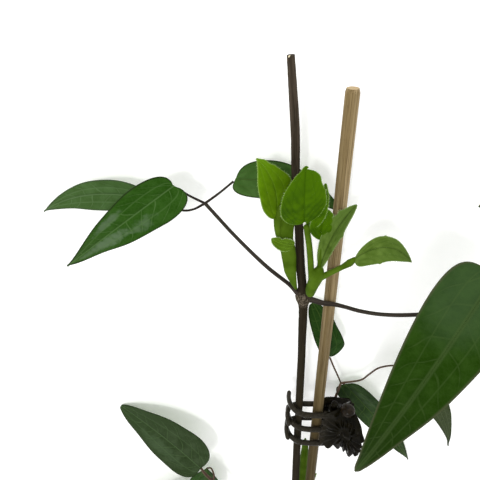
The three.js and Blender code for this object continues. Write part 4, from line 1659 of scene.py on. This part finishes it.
@dataclass(frozen=True)
class BambooCane:
    """The thin split cane, faintly faceted, with worn rims at both ends."""

    top: tuple[float, float] = (0.0, 0.0)
    foot: tuple[float, float] = (2.2, -292.0)
    radius: float = 2.95
    rings: int = 150
    sides: int = 48
    edge: float = 0.45
    flat_depth: float = 0.09
    fibre_depth: float = 0.08
    skin_off: float = 0.05

    @property
    def length(self) -> float:
        """Gives the cane's length along y, in mm."""
        return self.top[1] - self.foot[1]

    def relief(self, along: float, angle: float) -> float:
        """Gives the flats, fibre grooves and worn ends of the split cane, never outside its radius.

        Args:
            along: Distance along the cane from its cut top, in mm.
            angle: Angle round it.

        Returns:
            The height in mm.
        """
        flats = -self.flat_depth * (1 - abs(math.cos(3.5 * angle + 0.4)))
        fibre = self.fibre_depth * around(angle, along, 6, 0.02)
        ends = min(along, self.length - along)
        worn = -self.edge * max(0.0, 1 - ends / self.edge) ** 2
        return min(0.0, flats + fibre - self.skin_off) + worn

    def build(self) -> list[Piece]:
        """Models and dresses the cane, with a paler finish on its cut ends.

        Returns:
            The pieces, riding on the cutting in place of the cane's node.
        """
        (top_x, top_y), (foot_x, _) = self.top, self.foot
        length = self.length
        stops = []
        for i in range(self.rings + 1):
            part = i / self.rings
            gone = length * (0.5 - 0.5 * math.cos(math.pi * part)) * 0.1 + length * part * 0.9
            x = top_x + (foot_x - top_x) * gone / length
            stops.append((x, top_y - gone, AXIS_HEIGHT, self.radius))
        rod = Tube(tuple(stops), sides=self.sides, steps=self.rings, relief=self.relief)
        cane = rod.build("split_cane")
        Bench.dress(cane, CANE, CUT_CANE)
        for face in cane.data.polygons:
            if abs(face.normal.y) > 0.7:
                face.material_index = 1
        Bench.shade(cane, 50)
        return [Bench.hand_over(cane, "cane", ["bamboo_cane"])]


# ------------------------------------------------------------------ the claw clip


@dataclass(frozen=True)
class Handle:
    """How one handle differs from the other.

    Attributes:
        climb: How steeply it rises, against the front one.
        droop: How far its upper corner hangs down, in mm.
        spread: Its upper half's width at the end, against its width at the hinge.
        short: The part by which its upper corner is cut back.
    """

    climb: float
    droop: float
    spread: float
    short: float


@dataclass(frozen=True)
class JawShape:
    """One jaw of the clip, with places in mm from the hinge's middle.

    Attributes:
        node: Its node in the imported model.
        body: The body that it moves with.
        lift: 1 for the jaw on top and -1 for the one below.
        arms: The arms' places along the hinge.
        lean: How far each bend of an arm is moved along the hinge.
        profile: Each bend of an arm, as (x, z).
        handle: The handle's own form.
        lugs: The lugs' places along the hinge.
    """

    node: str
    body: str
    lift: float
    arms: tuple[float, ...]
    lean: tuple[float, ...]
    profile: tuple[tuple[float, float], ...]
    handle: Handle
    lugs: tuple[float, float]


FRONT_JAW = JawShape(
    "clip_front_jaw", body=JAW_BODY, lift=1.0, arms=(10.6, -1.3, -13.3),
    lean=(0, 0, 0.1, 1.6, 4.2, 4.3, 3.6, 3.1),
    profile=(
        (-3.4, 4.9), (-7.5, 4.8), (-13, 4.8), (-19.5, 4.7), (-23.6, 3.2), (-25.1, -0.4), (-25.3, -5),
        (-24.6, -9.6),
    ),
    handle=Handle(climb=1.0, droop=8.5, spread=1.2, short=0.46), lugs=(10.6, -10.6),
)
BACK_JAW = JawShape(
    "clip_back_jaw", body=ROOT_BODY, lift=-1.0, arms=(8.7, -3.2),
    lean=(0, 0, 0, -0.2, -0.7, -1.1, -1.6, -2.2),
    profile=(
        (-3.4, -4.9), (-7.5, -4.8), (-13, -4.8), (-19.5, -4.9), (-24.3, -3.4), (-26, 0.2), (-26.2, 4.6),
        (-25.6, 8.4),
    ),
    handle=Handle(climb=0.5, droop=1.2, spread=0.6, short=0.16), lugs=(7.4, -7.4),
)


@dataclass(frozen=True)
class ClawClip:
    """The dark plastic claw clip: two toothed jaws, a pin and a steel coil."""

    hinge: tuple[float, float, float] = (10.5, -188.6, AXIS_HEIGHT)
    half_width: float = 13.5
    plate: float = 2.0
    arm_width: float = 3.6
    arm_depth: float = 2.8
    tooth_slim: float = 0.92
    bore: float = 1.5
    lug_radius: float = 3.2
    lug_width: float = 2.2
    web_height: float = 6.0
    pin_radius: float = 1.1
    pin_head: float = 2.1
    head_in: float = 1.2
    head_out: float = 1.6
    head_dome: float = 0.8
    ear_place: tuple[float, float, float] = (6.4, 14.3, 4.3)
    ear_size: tuple[float, float, float] = (4.0, 3.1, 4.4)
    flutes: int = 18
    flute_depth: float = 1.3
    bead_size: float = 0.024
    boss: tuple[float, float] = (0.59, 0.07)
    boss_height: float = 0.8
    handle_length: float = 25.0
    voxel: float = 0.22
    coil_radius: float = 2.15
    coil_half: float = 3.6
    coil_turns: int = 4
    coil_steps: int = 24
    wire: float = 0.42
    leg_reach: float = 4.3
    upper_leg: float = 6.0
    lower_leg: float = 4.8
    blend_from: float = 1.4
    blend_to: float = 2.8
    handle_profile: tuple[tuple[float, float], ...] = (
        (-7.4, 4.9), (-4.6, 5.0), (-1.5, 6.1), (2.0, 7.0), (5.4, 9.4), (8.2, 12.6), (10.6, 15.6),
        (12.8, 18.5),
    )

    def at(self, x: float, y: float, z: float) -> Vector:
        """Turns a place beside the hinge into a place in the plant's frame, in mm."""
        return Vector(self.hinge) + Vector((x, y, z))

    def arm(self, jaw: JawShape, root: float, name: str) -> Piece:
        """Models one curved arm whose tooth leans along the hinge.

        Args:
            jaw: The jaw that it belongs to.
            root: Its place along the hinge.
            name: The piece's name.

        Returns:
            The closed mesh piece.
        """
        last = len(jaw.profile) - 1
        run = []
        for i, ((x, z), lean) in enumerate(zip(jaw.profile, jaw.lean)):
            slim = 1 + (self.tooth_slim - 1) * max(0.0, (i - 3) / (last - 3))
            run.append((*self.at(x, root + lean, z), self.arm_width / 2 * slim))
        flat = self.arm_depth / self.arm_width
        rod = Tube(tuple(run), sides=20, steps=90, flat=flat, across=(0, 1, 0), round_ends=True)
        return rod.build(name)

    def skin(self, jaw: JawShape, spine: Run, u: float, t: float, outer: bool) -> Vector:
        """Gives a point on one skin of the fluted shell handle.

        Args:
            jaw: The jaw that the handle belongs to.
            spine: The handle's middle line from the hinge outward.
            u: Place along the spine, from 0 to 1.
            t: Place across it, from -1 to 1.
            outer: Takes the outer skin, with the flutes and the boss, and not the inner one.

        Returns:
            The point in the plant's frame, in mm.
        """
        handle, upper = jaw.handle, t > 0
        outward = smooth(u, 0.23, 0.61)
        boss_u, boss_t = self.boss
        along, over = self.handle_length * (u - boss_u), self.half_width * (t - boss_t)
        off, turn = math.hypot(along, over), math.atan2(over, along)
        grown = smooth(off, 2.0, 6.0) * (1 - smooth(t, 0.45, 0.8))
        petal = abs(math.cos(self.flutes / 2 * turn)) ** 1.4
        rib = 2 * petal - 1
        knob = math.exp(-((off / 1.5) ** 2)) - 0.7 * math.exp(-(((off - 2.8) / 1.0) ** 2))
        short = handle.short * smooth(t, 0.35, 1.0) if upper else 0.2 * t * t
        beads = self.bead_size * (1 - rib) * smooth(off, 2.0, 6.0) * (1 - smooth(t, 0.75, 1.0))
        reach = u * (1 - short * smooth(u, 0.44, 0.91) - beads)
        centre = curve_point(spine, reach)
        ahead = curve_point(spine, min(1.0, reach + 0.01)) - curve_point(spine, max(0.0, reach - 0.01))
        ahead.normalize()
        normal = Vector((-ahead.z, 0.0, ahead.x))
        spread = 1 + (handle.spread - 1) * outward
        wide = spread if upper else 1 - 0.08 * outward + 0.05 * rib * grown
        sunk = (handle.droop if upper else 1.2) * t * t * outward
        lift = self.flute_depth * petal * grown + self.boss_height * knob
        rim = math.sqrt(max(0.0, 1 - max(0.0, u / 0.04 - 24.0) ** 2))
        offset = (self.plate / 2 + lift if outer else -self.plate / 2) * rim - sunk
        place = centre + normal * offset
        return self.at(place.x, self.half_width * wide * t, jaw.lift * place.z)

    def grip(self, jaw: JawShape, name: str) -> Piece:
        """Models the fluted shell handle.

        Args:
            jaw: The jaw that it belongs to.
            name: The piece's name.

        Returns:
            The closed mesh piece.
        """
        foot = self.handle_profile[0][1]
        spine = [(x, 0.0, foot + jaw.handle.climb * (z - foot), 0.0) for x, z in self.handle_profile]

        def place(u: float, v: float) -> tuple[Vector, Vector]:
            """Gives the shell's point and its mark.

            Args:
                u: Place along the handle, from 0 to 1.
                v: Place round the shell: first the outer skin across, then the inner one back.

            Returns:
                The point in mm, and the mark: the places along and across.
            """
            outer = v < 0.5
            t = 1 - 4 * v if outer else 4 * v - 3
            return self.skin(jaw, spine, u, t, outer), Vector((u, t, 0.0))

        piece = Bench.sheet(name, along=96, across=320, place=place)
        Bench.seal(piece)
        return piece

    def lug(self, jaw: JawShape, where: float, name: str) -> Piece:
        """Models a lug: a disc round the hinge, drawn out into a web to the handle.

        Args:
            jaw: The jaw that it belongs to.
            where: The lug's place along the hinge.
            name: The piece's name.

        Returns:
            The closed mesh piece.
        """
        piece = Bench.bar(name, self.lug_radius, self.lug_width, self.at(0, where, 0), sides=32)
        centre = row_place(self.at(0, 0, 0))
        for vertex in piece.data.vertices:
            rise = (vertex.co.z - centre.z) * jaw.lift / MM
            if rise > 0.2:
                pull = (self.web_height - self.lug_radius) * min(1.0, rise / 2.2)
                vertex.co.z += pull * jaw.lift * MM
        return piece

    def ear(self) -> Piece:
        """Models the shiny round ear of the front jaw, beside the upper end of the hinge.

        Returns:
            The ear, riding with the front jaw.
        """
        Bench.clear()
        bpy.ops.mesh.primitive_uv_sphere_add(
            segments=48,
            ring_count=28,
            radius=MM,
            location=row_place(self.at(*self.ear_place)),
            scale=self.ear_size,
        )
        piece = Bench.settled("clip_front_jaw_ear")
        Bench.dress(piece, EAR_PLASTIC)
        Bench.shade(piece, 60)
        return Bench.hand_over(piece, "clip_plastic", [FRONT_JAW.node], FRONT_JAW.body)

    def rod(self, radius: float, low: float, high: float, name: str, bevel: float = 0.0) -> Piece:
        """Models a round bar along the hinge.

        Args:
            radius: The bar's radius in mm.
            low: Its lower end along the hinge.
            high: Its upper end along the hinge.
            name: The piece's name.
            bevel: How far its rims are rounded off, in mm.

        Returns:
            The closed mesh piece.
        """
        piece = Bench.bar(name, radius, high - low, self.at(0, (low + high) / 2, 0), sides=40)
        if bevel:
            Bench.modify(piece, "BEVEL", width=bevel * MM, segments=4, limit_method="ANGLE")
        return piece

    def jaw(self, shape: JawShape) -> Piece:
        """Models one jaw as a single moulding, with its lugs bored for the pin.

        Args:
            shape: The jaw's shape.

        Returns:
            The jaw, riding on its body in place of its node.
        """
        parts = [self.grip(shape, shape.node + "_grip")]
        for i, root in enumerate(shape.arms):
            parts.append(self.arm(shape, root, f"{shape.node}_arm_{i}"))
        for i, where in enumerate(shape.lugs):
            parts.append(self.lug(shape, where, f"{shape.node}_lug_{i}"))
        whole = Bench.join(shape.node + "_moulding", parts)
        Bench.modify(whole, "REMESH", mode="VOXEL", voxel_size=self.voxel * MM)
        reach = self.half_width + 2
        drill = self.rod(self.bore, -reach, reach, shape.node + "_drill")
        Bench.modify(whole, "BOOLEAN", operation="DIFFERENCE", object=drill, solver="EXACT")
        bpy.data.objects.remove(drill, do_unlink=True)
        Bench.modify(whole, "SMOOTH", factor=0.5, iterations=2)
        Bench.dress(whole, CLIP_PLASTIC)
        Bench.shade(whole, 60)
        return Bench.hand_over(whole, "clip_plastic", [shape.node], shape.body)

    def pin(self) -> Piece:
        """Models the hinge pin with its two domed heads.

        Returns:
            The pin, riding on the cutting in place of its node.
        """
        reach = self.half_width
        bar = self.rod(self.pin_radius, -reach - 1, reach + 1, "pin_bar")
        inner, outer = reach - self.head_in, reach + self.head_out
        upper = self.rod(self.pin_head, inner, outer, "pin_upper", bevel=self.head_dome)
        lower = self.rod(self.pin_head, -outer, -inner, "pin_lower", bevel=self.head_dome)
        whole = Bench.join("hinge_pin", [bar, upper, lower])
        Bench.dress(whole, CLIP_PLASTIC)
        Bench.shade(whole, 40)
        return Bench.hand_over(whole, "clip_plastic", ["clip_pin"])

    def spring(self) -> Piece:
        """Models the coil with its legs, the upper one reaching up to the front jaw.

        Returns:
            The coil, in place of the imported spring, riding on no body.
        """
        radius, half, leg = self.coil_radius, self.coil_half, self.leg_reach
        knee = (leg + radius) / 2 + 0.4
        whole = self.coil_turns * self.coil_steps
        stops = [(leg, -half, -self.lower_leg), (knee, -half, -self.lower_leg / 2)]
        for i in range(whole + 1):
            angle = 2 * math.pi * i / self.coil_steps
            stops.append((radius * math.cos(angle), half * (2 * i / whole - 1), radius * math.sin(angle)))
        stops += [(knee, half, self.upper_leg / 2), (leg, half, self.upper_leg)]
        run = tuple((*self.at(*stop), self.wire) for stop in stops)
        coil = Tube(run, sides=12, steps=4 * len(run), across=(0, 1, 0)).build("spring_coil")
        Bench.dress(coil, SPRING_STEEL)
        Bench.shade(coil, 60)
        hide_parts("clip_spring")
        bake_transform(coil)
        LOG.info("spring_coil: blended from %s to %s", ROOT_BODY, JAW_BODY)
        return coil

    def build(self) -> list[Piece]:
        """Models and dresses the whole clip: two jaws, the ear, the pin and the spring."""
        return [self.jaw(FRONT_JAW), self.ear(), self.jaw(BACK_JAW), self.pin(), self.spring()]


# ------------------------------------------------------------------ the studio


@dataclass(frozen=True)
class Studio:
    """The camera of the picture, a pale floor and soft light."""

    eye: tuple[float, float, float] = (-42.4, 49.7, 217.6)
    tilt: float = 31.6
    lens: float = 37.5
    floor_size: float = 6.0
    floor_gap: float = 0.0002
    sky: float = 1.0
    key_power: float = 3.6
    fill_power: float = 1.26
    glint_power: float = 2.4

    def camera(self) -> None:
        """Adds the camera at the picture's angle."""
        Bench.clear()
        bpy.ops.object.camera_add(
            location=row_place(Vector(self.eye)), rotation=(-math.radians(self.tilt), 0, 0)
        )
        camera = bpy.context.object
        camera.name = "picture_camera"
        camera.data.sensor_width = 36.0
        camera.data.lens = self.lens
        camera.data.clip_start = 0.005
        camera.data.clip_end = 20.0
        camera.data.dof.use_dof = False
        bpy.context.scene.camera = camera

    def floor(self) -> Piece:
        """Adds the pale floor.

        Returns:
            The floor, outside the object.
        """
        Bench.clear()
        bpy.ops.mesh.primitive_plane_add(size=self.floor_size, location=(0, 0, -self.floor_gap))
        floor = Bench.settled("pale_floor")
        paper = PlainFinish(
            "pale_paper", (250, 250, 249), (252, 252, 251), gloss=0.9, specular=0.1, scale=0.02, glow=0.16
        )
        Bench.dress(floor, paper)
        return floor

    def light(self, name: str, place: tuple[float, float, float], size: float, power: float) -> None:
        """Adds a soft square lamp that faces the plant.

        Args:
            name: The lamp's name.
            place: Where it hangs, in metres.
            size: The length of its side, in metres.
            power: Its power in watts.
        """
        Bench.clear()
        bpy.ops.object.light_add(type="AREA", location=place)
        lamp = bpy.context.object
        lamp.name = name
        lamp.data.size = size
        lamp.data.energy = power
        lamp.rotation_euler = (-Vector(place)).to_track_quat("-Z", "Y").to_euler()

    def build(self) -> None:
        """Sets up the camera, the floor, the sky and the lamps."""
        self.camera()
        self.floor()
        self.light("key_light", (-0.35, 0.45, 1.2), size=0.3, power=self.key_power)
        self.light("fill_light", (0.9, -0.5, 0.9), size=1.2, power=self.fill_power)
        self.light("glint_light", (-0.3, 0.5, 1.1), size=0.05, power=self.glint_power)
        world = bpy.data.worlds.new("soft_sky")
        bpy.context.scene.world = world
        world.use_nodes = True
        sky = world.node_tree.nodes["Background"]
        sky.inputs["Color"].default_value = (1.0, 1.0, 1.0, 1.0)
        sky.inputs["Strength"].default_value = self.sky
        bpy.context.scene.view_settings.view_transform = "Standard"


def main() -> None:
    """Builds the plant, the cane, the clip and the studio."""
    logging.basicConfig(level=logging.INFO, format="%(name)s %(message)s")
    Studio().build()
    WoodyStem().build()
    BambooCane().build()
    for leaf in LEAVES:
        leaf.build()
    for shoot in SHOOTS:
        shoot.build()
    ClawClip().build()


if __name__ == "__main__":
    main()
